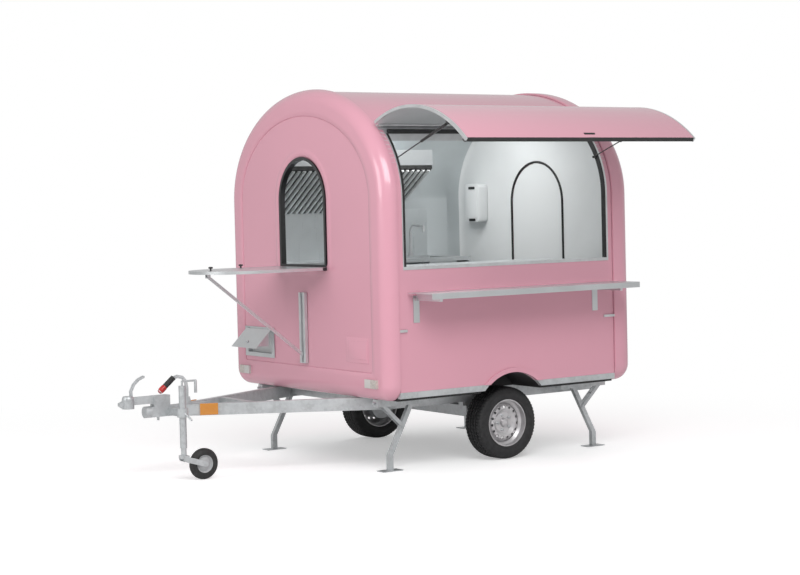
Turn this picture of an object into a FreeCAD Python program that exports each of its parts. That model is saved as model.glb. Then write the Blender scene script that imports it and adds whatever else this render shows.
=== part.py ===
import FreeCAD, Part
import math
import os
from FreeCAD import Vector

# Arched catering trailer, in millimetres.  +Z is up, -Y is the drawbar end and
# +X is the serving side.  All sizes below are measured from the point on the
# ground under the middle of the axle; the export at the end moves that point so
# that the frame's origin is under the middle of the whole trailer's box.

# ---- driving dimensions -------------------------------------------------------
# Body shell
body_half_width = 1058      # end caps, over the proud rims
front_y = -1135             # flat front face
rear_y = 1081               # flat rear face
body_bottom = 506           # underside of the caps and the floor
shoulder_z = 1900           # where the upright sides turn into the arch
arch_rise = 798             # height of the arch above the shoulder
wall = 35                   # sandwich wall of the caps and panels
panel_step = 15             # side and roof panels sit this far inside the rims
front_cap_depth = 110
rear_cap_depth = 175
edge_round = 100            # rounding of the caps' outer edge
body_corner = 125           # bottom corner of the caps, seen from the front
skirt_bottom = 525
skirt_top = 567

# Serving opening, hatch and gas struts
opening_front_y = -980
opening_rear_y = 865
opening_sill_z = 1404
opening_top_x = 832         # edge of the roof panel over the opening
frame_face = 22             # width of the aluminium frame strip
frame_proud = 3
hatch_overlap = 38          # hatch beyond the panel seams
hatch_hinge_x = 845
hatch_hinge_z = 2402
hatch_radius = 950          # outer skin
hatch_centre_x = 1259.3     # centre of the skin's arc with the hatch open
hatch_centre_z = 1567.5
hatch_root_x = 857
hatch_edge_x = 1903
hatch_thick = 20
hatch_swing = 69.5          # degrees from open to shut
strut_inset = 36            # strut plane from the side of the opening
strut_foot_x = 945
strut_foot_z = 2169
strut_head_x = 1557
strut_head_z = 2383
strut_cylinder_len = 330
strut_neck_len, strut_neck_radius = 26, 6  # slim between the plates of the bracket on the hatch

# Front window, its drop-down counter and stay
window_half_width = 300
window_spring_z = 1895
window_sill_z = 1428
flap_half_width = 345
flap_length = 870
flap_thick = 22
flap_hinge_y = -1154
flap_hinge_z = 1409
stay_head_y = -1917
stay_head_drop = 31         # stay's pin below the counter's hinge line
stay_foot_y = -1150
stay_foot_z = 779
stay_track_bottom = 722
stay_track_top = 1233

# Serving shelf
shelf_front_y = -955
shelf_rear_y = 900
shelf_outer_x = 1345
shelf_top_z = 1250
shelf_lip = 40
shelf_pin_x = 1066
shelf_pin_z = 1203
shelf_bracket_ys = (-878, 725)
shelf_bracket_width = 50

# Rear door
door_half_width = 305
door_bottom_z = 596
door_spring_z = 1844
door_gap = 7
door_hinge_out = 12         # hinge line behind the rear face

# Inlet box and its lid on the front
inlet_x = (-818, -472)
inlet_z = (762, 932)
inlet_depth = 115
inlet_flange = 40
lid_length = 190
lid_open_angle = 45

# Wheels, axle and chassis
tyre_radius = 262.5
tyre_width = 195
wheel_mid_x = 819.5
rim_flange_radius = 185
bead_radius = 168
arch_centre_y = -45
arch_centre_z = 304
arch_radius = 338
liner = 4
well_inner_x = 686
beam_y = -150
beam_z = 345
beam_size = 80
rail_outer_x = 665
rail_width = 50
rail_height = 88
rail_top_z = 502
rail_front_y = -900
rail_rear_y = 1000
drawbar_nose = (60, -2150)  # outer face of the drawbar rail, near its nose
drawbar_root = (665, -874)  # where it meets the side rail
drawbar_rise = 14           # the rails climb towards the coupling
drawbar_thick = 44

# Coupling and jockey wheel
tube_half_width = 33
tube_z = (436, 508)
tube_y = (-2440, -1960)
ball_radius = 25
ball_y = -2560
jockey_x = 200
jockey_y = -2250
jockey_outer_radius = 24
jockey_inner_radius = 19
jockey_wheel_radius = 107
jockey_wheel_width = 50
jockey_trail = 150
jockey_lift = 190

# Corner steadies
steady_x = 787
steady_pin_inset = 112      # brace's fixed pin from the end face of the body
steady_pin_z = 476
steady_drop = 168           # crossing pin below the fixed pin
brace_length = 243
leg_above_pin = 190
foot_pivot_z = 110

PIN_GAP = 0.3               # running clearance round pins and at seated faces

# ---- shape helpers --------------------------------------------------------------


def box(x, y, z):
    """Block between the (low, high) pairs of each axis."""
    return Part.makeBox(x[1] - x[0], y[1] - y[0], z[1] - z[0], Vector(x[0], y[0], z[0]))


def rod(start, end, radius):
    """Round bar between two points."""
    a, b = Vector(*start), Vector(*end)
    return Part.makeCylinder(radius, (b - a).Length, a, b - a)


def pipe(start, end, outer, inner):
    return rod(start, end, outer).cut(rod(start, end, inner))


def prism_x(points, x0, x1):
    """Polygon of (y, z) points, carried from x0 to x1."""
    corners = [Vector(x0, y, z) for y, z in points]
    face = Part.Face(Part.makePolygon(corners + corners[:1]))
    return face.extrude(Vector(x1 - x0, 0, 0))


def prism_y(points, y0, y1):
    """Polygon of (x, z) points, carried from y0 to y1."""
    corners = [Vector(x, y0, z) for x, z in points]
    face = Part.Face(Part.makePolygon(corners + corners[:1]))
    return face.extrude(Vector(0, y1 - y0, 0))


def joined(shapes):
    """One solid, or several where they don't touch."""
    whole = shapes[0].multiFuse(shapes[1:]) if len(shapes) > 1 else shapes[0]
    return whole.removeSplitter()


def flat_bar_x(points, width, x0, x1):
    """Flat bar with rounded joints along (y, z) points, between x0 and x1."""
    pieces = []
    for (y0, z0), (y1, z1) in zip(points, points[1:]):
        run = math.hypot(y1 - y0, z1 - z0)
        ny, nz = -(z1 - z0) / run * width / 2, (y1 - y0) / run * width / 2
        pieces.append(prism_x([(y0 + ny, z0 + nz), (y1 + ny, z1 + nz),
                               (y1 - ny, z1 - nz), (y0 - ny, z0 - nz)], x0, x1))
    for y, z in points:
        pieces.append(rod((x0, y, z), (x1, y, z), width / 2))
    return joined(pieces)


def mirrored_x(shape):
    return shape.mirror(Vector(0, 0, 0), Vector(1, 0, 0))


def turned(shape, pivot, axis, degrees):
    copy = shape.copy()
    copy.rotate(Vector(*pivot), Vector(*axis), degrees)
    return copy


def body_outline(inset, y, corner):
    """Face across the body: upright sides, elliptical arch, rounded bottom corners."""
    a, b = body_half_width - inset, arch_rise - inset
    low = body_bottom + inset
    centre = Vector(0, y, shoulder_z)
    right, top = Vector(a, y, shoulder_z), Vector(0, y, shoulder_z + b)
    if a >= b:
        arch = Part.Ellipse(right, top, centre).toShape(0, math.pi)
    else:
        arch = Part.Ellipse(top, Vector(-a, y, shoulder_z), centre).toShape(-math.pi / 2, math.pi / 2)
    k = corner * (1 - math.sqrt(0.5))
    left_arc = Part.Arc(Vector(-a, y, low + corner), Vector(-a + k, y, low + k),
                        Vector(-a + corner, y, low)).toShape()
    right_arc = Part.Arc(Vector(a - corner, y, low), Vector(a - k, y, low + k),
                         Vector(a, y, low + corner)).toShape()
    edges = [Part.makeLine(Vector(a, y, low + corner), right), arch,
             Part.makeLine(Vector(-a, y, shoulder_z), Vector(-a, y, low + corner)), left_arc,
             Part.makeLine(Vector(-a + corner, y, low), Vector(a - corner, y, low)), right_arc]
    return Part.Face(Part.Wire(Part.__sortEdges__(edges)))


def body_block(inset, y0, y1, corner):
    return body_outline(inset, y0, corner).extrude(Vector(0, y1 - y0, 0))


def arched_face(half_width, bottom, spring, y, across=0):
    """Upright face with a half-round top, as the window and the door have."""
    left, right = across - half_width, across + half_width
    arch = Part.Arc(Vector(right, y, spring), Vector(across, y, spring + half_width),
                    Vector(left, y, spring)).toShape()
    edges = [Part.makeLine(Vector(left, y, bottom), Vector(right, y, bottom)),
             Part.makeLine(Vector(right, y, bottom), Vector(right, y, spring)), arch,
             Part.makeLine(Vector(left, y, spring), Vector(left, y, bottom))]
    return Part.Face(Part.Wire(Part.__sortEdges__(edges)))


def arched_block(half_width, bottom, spring, y0, y1):
    return arched_face(half_width, bottom, spring, y0).extrude(Vector(0, y1 - y0, 0))


def ring_sector(centre, outer, inner, start, end, y0, y1):
    """Part of a tube along Y, from one angle to another in the X-Z plane, in degrees."""
    cx, cz = centre

    def at(radius, degrees):
        turn = math.radians(degrees)
        return Vector(cx + radius * math.cos(turn), y0, cz + radius * math.sin(turn))

    middle = (start + end) / 2
    edges = [Part.Arc(at(outer, start), at(outer, middle), at(outer, end)).toShape(),
             Part.makeLine(at(outer, end), at(inner, end)),
             Part.Arc(at(inner, end), at(inner, middle), at(inner, start)).toShape(),
             Part.makeLine(at(inner, start), at(outer, start))]
    return Part.Face(Part.Wire(edges)).extrude(Vector(0, y1 - y0, 0))


def turned_profile(points, centre):
    """Solid of revolution about the X direction through centre, from (x, radius) points."""
    corners = [Vector(x, centre[0], centre[1] + r) for x, r in points]
    face = Part.Face(Part.makePolygon(corners + corners[:1]))
    return face.revolve(Vector(0, centre[0], centre[1]), Vector(1, 0, 0), 360)


nodes = {}

# ---- body shell -----------------------------------------------------------------
seam_front = front_y + front_cap_depth
seam_rear = rear_y - rear_cap_depth
panel_x = body_half_width - panel_step          # outer face of the side panels
inner_x = panel_x - wall                        # cabin side of the side panels
floor_top = body_bottom + wall
far_out = 3000                                  # beyond the body, for cutting blocks


def rounded_cap(face_y, seam_y):
    """Moulded end cap: a rounded block with its inside hollowed out."""
    inward = 1 if seam_y > face_y else -1

    def block(inset, front, radius, corner):
        solid = body_block(inset, front, seam_y, corner)
        rim = [e for e in solid.Edges if all(abs(v.Point.y - front) < 0.01 for v in e.Vertexes)]
        return solid.makeFillet(radius, rim)

    shell = block(0, face_y, edge_round, body_corner)
    cavity = block(wall, face_y + inward * wall, edge_round - wall, body_corner - wall)
    return shell.cut(cavity)


window_cut = arched_block(window_half_width, window_sill_z, window_spring_z, front_y - 5,
                          front_y + wall + 5)
inlet_cut = box((inlet_x[0] - 3, inlet_x[1] + 3), (front_y - 5, front_y + wall + 5),
                (inlet_z[0] - 3, inlet_z[1] + 3))
nodes["front_cap"] = rounded_cap(front_y, seam_front).cut(window_cut).cut(inlet_cut)

door_cut = arched_block(door_half_width + door_gap, door_bottom_z - door_gap, door_spring_z,
                        rear_y - wall - 5, rear_y + 5)
nodes["rear_cap"] = rounded_cap(rear_y, seam_rear).cut(door_cut)

tunnel = body_block(panel_step, seam_front, seam_rear, 60).cut(
    body_block(panel_step + wall, seam_front, seam_rear, 30))
arch_cut = rod((-far_out, arch_centre_y, arch_centre_z), (far_out, arch_centre_y, arch_centre_z),
               arch_radius)
opening_block = box((opening_top_x, far_out), (opening_front_y, opening_rear_y),
                    (opening_sill_z, far_out))

roof_over_serving_side = box((0, far_out), (seam_front, seam_rear), (shoulder_z, far_out)).common(
    box((0, opening_top_x), (seam_front, seam_rear), (0, far_out)))
roof_over_off_side = box((-far_out, 0), (seam_front, seam_rear), (shoulder_z, far_out))
nodes["roof_panel"] = joined([tunnel.common(roof_over_serving_side),
                              tunnel.common(roof_over_off_side)])

lip_radius = arch_radius + 32


def arch_lip(side):
    """Raised half-round flange round a wheel opening."""
    disc = rod((side * (panel_x - 3), arch_centre_y, arch_centre_z),
               (side * (panel_x + 12), arch_centre_y, arch_centre_z), lip_radius)
    return disc.common(box((-far_out, far_out), (-far_out, far_out), (skirt_top, far_out)))


side_block = box((opening_top_x, far_out), (seam_front, seam_rear), (skirt_top, far_out))
serving_wall = tunnel.common(side_block).cut(opening_block)
nodes["serving_side_panel"] = joined([serving_wall, arch_lip(1)]).cut(arch_cut)
off_wall = box((-panel_x, -inner_x), (seam_front, seam_rear), (skirt_top, shoulder_z))
nodes["off_side_panel"] = joined([off_wall, arch_lip(-1)]).cut(arch_cut)

nodes["floor"] = box((-inner_x, inner_x), (seam_front, seam_rear), (body_bottom, floor_top))
for side in (1, -1):
    well = rod((side * well_inner_x, arch_centre_y, arch_centre_z),
               (side * far_out, arch_centre_y, arch_centre_z), arch_radius + liner)
    nodes["floor"] = nodes["floor"].cut(well)

skirt = box((inner_x, panel_x), (seam_front, seam_rear), (skirt_bottom, skirt_top)).cut(arch_cut)
nodes["skirt_trims"] = Part.makeCompound(skirt.Solids + mirrored_x(skirt).Solids)


def wheel_well():
    """Half-round liner over a wheel, closed on its cabin side."""
    outside = rod((well_inner_x, arch_centre_y, arch_centre_z),
                  (inner_x, arch_centre_y, arch_centre_z), arch_radius + liner)
    inside = rod((well_inner_x + liner, arch_centre_y, arch_centre_z),
                 (inner_x + 1, arch_centre_y, arch_centre_z), arch_radius)
    above = box((0, far_out), (-far_out, far_out), (body_bottom, far_out))
    return outside.cut(inside).common(above)


near_well = wheel_well().cut(nodes["serving_side_panel"])
off_well = mirrored_x(wheel_well()).cut(nodes["off_side_panel"])
nodes["wheel_wells"] = Part.makeCompound(near_well.Solids + off_well.Solids)

# ---- serving opening --------------------------------------------------------------
frame_tunnel = body_block(panel_step - frame_proud, opening_front_y, opening_rear_y, 60).cut(
    body_block(panel_step + wall + frame_proud, opening_front_y, opening_rear_y, 30))
frame_hole = box((opening_top_x + frame_face, far_out),
                 (opening_front_y + frame_face, opening_rear_y - frame_face),
                 (opening_sill_z + frame_face, far_out))
frame_ring = frame_tunnel.common(opening_block).cut(frame_hole)
strut_ys = (opening_front_y + strut_inset, opening_rear_y - strut_inset)
foot_studs = [
    rod((strut_foot_x, opening_front_y + frame_face - 2, strut_foot_z),
        (strut_foot_x, strut_ys[0] - 6, strut_foot_z), 7),
    rod((strut_foot_x, opening_rear_y - frame_face + 2, strut_foot_z),
        (strut_foot_x, strut_ys[1] + 6, strut_foot_z), 7)]
nodes["serving_frame"] = joined([frame_ring] + foot_studs)

# Hinge rail on the roof: a strip that follows the roof, a web and a fixed pin.
hinge_at = (hatch_hinge_x, hatch_hinge_z)
pin_radius, sleeve_radius = 4, 8
rail_strip = body_block(panel_step - 3, seam_front, seam_rear, 60).cut(
    body_block(panel_step, seam_front, seam_rear, 60)).common(
    box((hatch_hinge_x - 45, opening_top_x - 2), (seam_front, seam_rear), (shoulder_z, far_out)))
web_angle = math.radians(225)
web_end = (hinge_at[0] + 31 * math.cos(web_angle), hinge_at[1] + 31 * math.sin(web_angle))
web = prism_y([(hinge_at[0] - 1, hinge_at[1] + 1), (hinge_at[0] + 1, hinge_at[1] - 1),
               (web_end[0] + 1, web_end[1] - 1), (web_end[0] - 1, web_end[1] + 1)],
              seam_front, seam_rear)
hinge_pin = rod((hinge_at[0], seam_front, hinge_at[1]), (hinge_at[0], seam_rear, hinge_at[1]),
                pin_radius)
nodes["hatch_hinge_rail"] = joined([rail_strip, web, hinge_pin]).cut(nodes["roof_panel"])

# Hatch, standing open.  Its curled sleeve turns on the fixed pin.
hatch_y = (seam_front - hatch_overlap, seam_rear + hatch_overlap)


def hatch_angle(x):
    return math.degrees(math.acos((x - hatch_centre_x) / hatch_radius))


hatch_skin = ring_sector((hatch_centre_x, hatch_centre_z), hatch_radius,
                         hatch_radius - hatch_thick, hatch_angle(hatch_edge_x),
                         hatch_angle(hatch_root_x), *hatch_y)
root_turn = math.radians(hatch_angle(hatch_root_x))
root_mid = (hatch_centre_x + (hatch_radius - hatch_thick / 2) * math.cos(root_turn),
            hatch_centre_z + (hatch_radius - hatch_thick / 2) * math.sin(root_turn))
leaf_angle = math.atan2(root_mid[1] - hinge_at[1], root_mid[0] - hinge_at[0])
leaf_normal = (-math.sin(leaf_angle) * 3, math.cos(leaf_angle) * 3)
leaf_from = (hinge_at[0] + 6 * math.cos(leaf_angle), hinge_at[1] + 6 * math.sin(leaf_angle))
leaf_to = (root_mid[0] + 4 * math.cos(leaf_angle), root_mid[1] + 4 * math.sin(leaf_angle))
sleeve_y = (seam_front + 1, seam_rear - 1)
leaf = prism_y([(leaf_from[0] + leaf_normal[0], leaf_from[1] + leaf_normal[1]),
                (leaf_to[0] + leaf_normal[0], leaf_to[1] + leaf_normal[1]),
                (leaf_to[0] - leaf_normal[0], leaf_to[1] - leaf_normal[1]),
                (leaf_from[0] - leaf_normal[0], leaf_from[1] - leaf_normal[1])], *sleeve_y)
sleeve = ring_sector(hinge_at, sleeve_radius, pin_radius + PIN_GAP, -40, 200, *sleeve_y)
strut_brackets = []
inner_radius = hatch_radius - hatch_thick
skin_z = hatch_centre_z + math.sqrt(inner_radius ** 2 - (strut_head_x - hatch_centre_x) ** 2)
for strut_y, away in ((strut_ys[0], -1), (strut_ys[1], 1)):
    plate_y = sorted((strut_y + away * 8, strut_y + away * 12))
    hanger = prism_y([(strut_head_x - 12, strut_head_z - 10), (strut_head_x + 12, strut_head_z - 10),
                      (strut_head_x + 30, skin_z - 5), (strut_head_x - 30, skin_z + 6)], *plate_y)
    stud = rod((strut_head_x, strut_y + away * 9, strut_head_z),
               (strut_head_x, strut_y - away * 6, strut_head_z), 4)
    strut_brackets += [hanger, stud]
nodes["hatch_panel"] = joined([hatch_skin, leaf, sleeve] + strut_brackets)

# Gas struts: the cylinder hangs on the hatch and its rod reaches down to the frame.
strut_vector = Vector(strut_foot_x - strut_head_x, 0, strut_foot_z - strut_head_z)
strut_length = strut_vector.Length
strut_dir = strut_vector.normalize()


def along_strut(distance, y):
    return (strut_head_x + strut_dir.x * distance, y, strut_head_z + strut_dir.z * distance)


for name, strut_y in (("front", strut_ys[0]), ("rear", strut_ys[1])):
    eye = pipe((strut_head_x, strut_y - 5, strut_head_z), (strut_head_x, strut_y + 5, strut_head_z),
               10, 4 + PIN_GAP)
    neck = rod(along_strut(9, strut_y), along_strut(strut_neck_len + 1, strut_y), strut_neck_radius).cut(
        rod((strut_head_x, strut_y - 12, strut_head_z), (strut_head_x, strut_y + 12, strut_head_z),
            9.5))
    barrel = rod(along_strut(strut_neck_len, strut_y), along_strut(strut_cylinder_len, strut_y), 10)
    bore = rod(along_strut(30, strut_y), along_strut(strut_cylinder_len + 1, strut_y),
               4 + PIN_GAP)
    nodes["strut_cylinder_" + name] = joined([barrel, neck, eye]).cut(bore)
    shaft = rod(along_strut(strut_cylinder_len - 60, strut_y), along_strut(strut_length - 8, strut_y), 4)
    rod_eye = rod((strut_foot_x, strut_y - 5, strut_foot_z), (strut_foot_x, strut_y + 5, strut_foot_z), 9)
    nodes["strut_rod_" + name] = joined([shaft, rod_eye])

# ---- front window, counter flap and stay ---------------------------------------------
seal_width = 16
seal_proud = 3              # clears the counter when it is shut over the window
frame_outer = arched_block(window_half_width + seal_width, window_sill_z - 8, window_spring_z,
                           front_y - seal_proud, front_y)
frame_inner = arched_block(window_half_width - 6, window_sill_z + 8, window_spring_z,
                           front_y - 9, front_y + wall + 4)
frame_neck = arched_block(window_half_width, window_sill_z, window_spring_z, front_y,
                          front_y + wall + 3)
nodes["front_window_frame"] = joined([frame_outer, frame_neck]).cut(frame_inner)

flap_spring = flap_length - flap_half_width
flap_top_z = flap_hinge_z + flap_thick / 2
flap_low_z = flap_hinge_z - flap_thick / 2
flap_edges = [
    Part.makeLine(Vector(-flap_half_width, flap_hinge_y - 9, flap_low_z),
                  Vector(flap_half_width, flap_hinge_y - 9, flap_low_z)),
    Part.makeLine(Vector(flap_half_width, flap_hinge_y - 9, flap_low_z),
                  Vector(flap_half_width, flap_hinge_y - flap_spring, flap_low_z)),
    Part.Arc(Vector(flap_half_width, flap_hinge_y - flap_spring, flap_low_z),
             Vector(0, flap_hinge_y - flap_length, flap_low_z),
             Vector(-flap_half_width, flap_hinge_y - flap_spring, flap_low_z)).toShape(),
    Part.makeLine(Vector(-flap_half_width, flap_hinge_y - flap_spring, flap_low_z),
                  Vector(-flap_half_width, flap_hinge_y - 9, flap_low_z))]
flap_board = Part.Face(Part.Wire(flap_edges)).extrude(Vector(0, 0, flap_thick))
flap_knuckle_x = ((-300, -240), (240, 300))
flap_knuckles = []
for low, high in flap_knuckle_x:
    knuckle = rod((low, flap_hinge_y, flap_hinge_z), (high, flap_hinge_y, flap_hinge_z), 7)
    tongue = box((low, high), (flap_hinge_y - 12, flap_hinge_y), (flap_hinge_z - 4, flap_hinge_z + 4))
    flap_knuckles.append(joined([knuckle, tongue]).cut(
        rod((low - 1, flap_hinge_y, flap_hinge_z), (high + 1, flap_hinge_y, flap_hinge_z),
            4 + PIN_GAP)))
stay_head_z = flap_hinge_z - stay_head_drop
stay_ears = [box(x, (stay_head_y - 14, stay_head_y + 14), (stay_head_z - 10, flap_low_z + 1))
             for x in ((-14, -10), (10, 14))]
stay_pin = rod((-14, stay_head_y, stay_head_z), (14, stay_head_y, stay_head_z), 4)
nodes["counter_flap"] = joined([flap_board] + flap_knuckles + stay_ears + [stay_pin])

stay_hole = rod((-10, stay_head_y, stay_head_z), (10, stay_head_y, stay_head_z), 4 + PIN_GAP)
stay = flat_bar_x([(stay_head_y, stay_head_z), (stay_foot_y, stay_foot_z)], 20, -7, 7)
nodes["flap_stay"] = stay.cut(stay_hole)

track_rails = [box(x, (front_y - 22, front_y), (stay_track_bottom, stay_track_top))
               for x in ((-40, -14), (14, 40))]
track_back = box((-40, 40), (front_y - 3, front_y), (stay_track_bottom, stay_track_top))
track_end = box((-40, 40), (front_y - 22, front_y), (stay_track_bottom, stay_track_bottom + 6))
nodes["stay_track"] = joined(track_rails + [track_back, track_end])

# ---- serving shelf and the brackets on the walls --------------------------------------
shelf_inner_x = shelf_pin_x - 2
deck = box((shelf_inner_x, shelf_outer_x), (shelf_front_y, shelf_rear_y),
           (shelf_top_z - 6, shelf_top_z))
lip = box((shelf_outer_x - 4, shelf_outer_x), (shelf_front_y, shelf_rear_y),
          (shelf_top_z - shelf_lip, shelf_top_z))
arm_width = 20
shelf_arms = []
for bracket_y in shelf_bracket_ys:
    arm_y = (bracket_y - arm_width / 2, bracket_y + arm_width / 2)
    arm = box((shelf_pin_x, shelf_outer_x - 3), arm_y, (shelf_pin_z - 10, shelf_top_z - 5))
    hub = rod((shelf_pin_x, arm_y[0], shelf_pin_z), (shelf_pin_x, arm_y[1], shelf_pin_z), 10)
    shelf_arms.append(joined([arm, hub]).cut(
        rod((shelf_pin_x, arm_y[0] - 1, shelf_pin_z), (shelf_pin_x, arm_y[1] + 1, shelf_pin_z),
            5 + PIN_GAP)))
nodes["serving_shelf"] = joined([deck, lip] + shelf_arms)

wall_parts = []
for bracket_y in shelf_bracket_ys:
    half = shelf_bracket_width / 2
    plate = box((panel_x, panel_x + 5), (bracket_y - half, bracket_y + half), (1040, 1195 + 30))
    pieces = [plate]
    for ear in ((bracket_y - 20, bracket_y - 14), (bracket_y + 14, bracket_y + 20)):
        pieces.append(box((panel_x, shelf_pin_x), ear, (shelf_pin_z - 10, shelf_pin_z + 10)))
        pieces.append(rod((shelf_pin_x, ear[0], shelf_pin_z), (shelf_pin_x, ear[1], shelf_pin_z), 10))
    pieces.append(rod((shelf_pin_x, bracket_y - 20, shelf_pin_z),
                      (shelf_pin_x, bracket_y + 20, shelf_pin_z), 5))
    wall_parts.append(joined(pieces))
for low, high in flap_knuckle_x:
    pieces = [rod((low - 14, flap_hinge_y, flap_hinge_z), (high + 14, flap_hinge_y, flap_hinge_z), 4)]
    for ear in ((low - 14, low - 2), (high + 2, high + 14)):
        pieces.append(box(ear, (flap_hinge_y, front_y), (flap_hinge_z - 7, flap_hinge_z + 7)))
        pieces.append(rod((ear[0], flap_hinge_y, flap_hinge_z), (ear[1], flap_hinge_y, flap_hinge_z), 7))
    wall_parts.append(joined(pieces))
door_hinge_x = -(door_half_width + 22)
door_hinge_y = rear_y + door_hinge_out
door_knuckle_z = (800, 1700)
for z in door_knuckle_z:
    leaf_plate = box((door_hinge_x - 46, door_hinge_x - 2), (rear_y, rear_y + 4), (z, z + 90))
    ears = []
    for ear in ((z, z + 28), (z + 62, z + 90)):
        ears.append(box((door_hinge_x - 6, door_hinge_x), (rear_y, door_hinge_y), ear))
        ears.append(rod((door_hinge_x, door_hinge_y, ear[0]), (door_hinge_x, door_hinge_y, ear[1]), 8))
    pin = rod((door_hinge_x, door_hinge_y, z), (door_hinge_x, door_hinge_y, z + 90), 4)
    wall_parts.append(joined([leaf_plate, pin] + ears))
nodes["wall_brackets"] = Part.makeCompound(wall_parts)

# ---- rear door -------------------------------------------------------------------------
door_slab = arched_block(door_half_width, door_bottom_z, door_spring_z, rear_y - wall, rear_y)
door_knuckles = []
for z in door_knuckle_z:
    knuckle = rod((door_hinge_x, door_hinge_y, z + 29), (door_hinge_x, door_hinge_y, z + 61), 8)
    strap = box((door_hinge_x, door_hinge_x + 90), (rear_y + 1, rear_y + 6), (z + 29, z + 61))
    pad = box((door_hinge_x + 30, door_hinge_x + 90), (rear_y - 2, rear_y + 3), (z + 29, z + 61))
    door_knuckles.append(joined([knuckle, strap, pad]).cut(
        rod((door_hinge_x, door_hinge_y, z + 20), (door_hinge_x, door_hinge_y, z + 70), 4 + PIN_GAP)))
handle_x = door_half_width - 60
handle = joined([box((handle_x - 18, handle_x + 18), (rear_y, rear_y + 8), (1270, 1400)),
                 rod((handle_x, rear_y + 4, 1300), (handle_x, rear_y + 42, 1300), 7),
                 rod((handle_x + 12, rear_y + 40, 1300), (handle_x - 110, rear_y + 40, 1300), 9)])
nodes["rear_door"] = joined([door_slab, handle] + door_knuckles)

# ---- inlet box ---------------------------------------------------------------------------
flange = box((inlet_x[0] - inlet_flange, inlet_x[1] + inlet_flange), (front_y - 3, front_y),
             (inlet_z[0] - 30, inlet_z[1] + 25))
tray = box((inlet_x[0] - 3, inlet_x[1] + 3), (front_y - 3, front_y + inlet_depth),
           (inlet_z[0] - 3, inlet_z[1] + 3))
tray_hollow = box(inlet_x, (front_y - 4, front_y + inlet_depth - 3), inlet_z)
lid_pivot = (front_y - 9, inlet_z[1] + 12)
lid_ears = []
for ear in ((inlet_x[0] - 20, inlet_x[0] - 13), (inlet_x[1] + 13, inlet_x[1] + 20)):
    lid_ears.append(box(ear, (lid_pivot[0], front_y), (lid_pivot[1] - 5, lid_pivot[1] + 5)))
    lid_ears.append(rod((ear[0], *lid_pivot), (ear[1], *lid_pivot), 5))
lid_pins = [rod((x0, *lid_pivot), (x1, *lid_pivot), 2.5)
            for x0, x1 in ((inlet_x[0] - 20, inlet_x[0] + 20), (inlet_x[1] - 20, inlet_x[1] + 20))]
nodes["inlet_box"] = joined([flange, tray] + lid_ears + lid_pins).cut(tray_hollow)

# The lid is drawn hanging shut, then swung out to where it stands.
lid_y = lid_pivot[0]
lid_plate = box((inlet_x[0] - 10, inlet_x[1] + 10), (lid_y - 1.5, lid_y + 1.5),
                (lid_pivot[1] - lid_length, lid_pivot[1] - 4))
cheek_run = lid_length * math.cos(math.radians(lid_open_angle))
cheeks = []
for x0 in (inlet_x[0] + 7, inlet_x[1] - 9):
    cheeks.append(prism_x([(lid_y, lid_pivot[1] - 14), (lid_y, lid_pivot[1] - lid_length + 22),
                           (lid_y + cheek_run * math.sin(math.radians(lid_open_angle)) - 12,
                            lid_pivot[1] - cheek_run * math.cos(math.radians(lid_open_angle)))],
                          x0, x0 + 2))
lid_sleeves = [pipe((x0, *lid_pivot), (x1, *lid_pivot), 5, 2.5 + PIN_GAP)
               for x0, x1 in ((inlet_x[0] - 10, inlet_x[0] + 18), (inlet_x[1] - 18, inlet_x[1] + 10))]
lid_hole = [rod((x0 - 1, *lid_pivot), (x1 + 1, *lid_pivot), 2.5 + PIN_GAP)
            for x0, x1 in ((inlet_x[0] - 10, inlet_x[0] + 18), (inlet_x[1] - 18, inlet_x[1] + 10))]
knob = rod(((inlet_x[0] + inlet_x[1]) / 2, lid_y - 1, lid_pivot[1] - lid_length * 0.72),
           ((inlet_x[0] + inlet_x[1]) / 2, lid_y - 16, lid_pivot[1] - lid_length * 0.72), 11)
lid_shut = joined([lid_plate, knob] + cheeks + lid_sleeves).cut(lid_hole[0]).cut(lid_hole[1])
nodes["inlet_lid"] = turned(lid_shut, (0, *lid_pivot), (1, 0, 0), -lid_open_angle)

# ---- lamps ----------------------------------------------------------------------------
lamp_x, lamp_z = 865, 626


def lamp_pair(half_width, half_height, y0, y1, z):
    near = box((lamp_x - half_width, lamp_x + half_width), (y0, y1), (z - half_height, z + half_height))
    long_edges = [e for e in near.Edges if abs(e.Vertexes[0].Point.y - e.Vertexes[1].Point.y) > 1]
    near = near.makeFillet(6, long_edges)
    return Part.makeCompound([near, mirrored_x(near)])


nodes["front_lamps"] = lamp_pair(72, 30, front_y - 18, front_y, lamp_z)
nodes["rear_lamps"] = lamp_pair(75, 75, rear_y, rear_y + 22, 660)

# ---- chassis, axle and wheels -----------------------------------------------------------
rail_z = (rail_top_z - rail_height, rail_top_z)
frame_pieces = []
for side in (1, -1):
    outer, inner = side * rail_outer_x, side * (rail_outer_x - rail_width)
    low, high = rail_z
    channel = [(outer, low), (outer, high), (inner, high), (inner, high - 5),
               (outer - side * 5, high - 5), (outer - side * 5, low + 5), (inner, low + 5), (inner, low)]
    frame_pieces.append(prism_y(channel, rail_front_y, rail_rear_y))
steady_base_half = 30
for y in (rail_front_y, -620, beam_y + 300, 700, rail_rear_y - 50):
    reach = rail_outer_x - 3
    frame_pieces.append(box((-reach, reach), (y + 2, y + 48), (rail_z[0] + 20, rail_z[1] - 2)))
outrigger_x = steady_x - steady_base_half
for side in (1, -1):
    for y in (rail_front_y, -690, 690, 880):
        reach = sorted((side * (rail_outer_x - 3), side * outrigger_x))
        frame_pieces.append(box(reach, (y + 3, y + 40), (rail_z[1] - 44, rail_z[1] - 4)))
packers = [box(sorted((side * (rail_outer_x - rail_width), side * rail_outer_x)), (y, y + 60),
               (rail_z[1], body_bottom)) for side in (1, -1) for y in (-860, -300, 300, 860)]
nodes["chassis_frame"] = joined(frame_pieces + packers)

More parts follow.
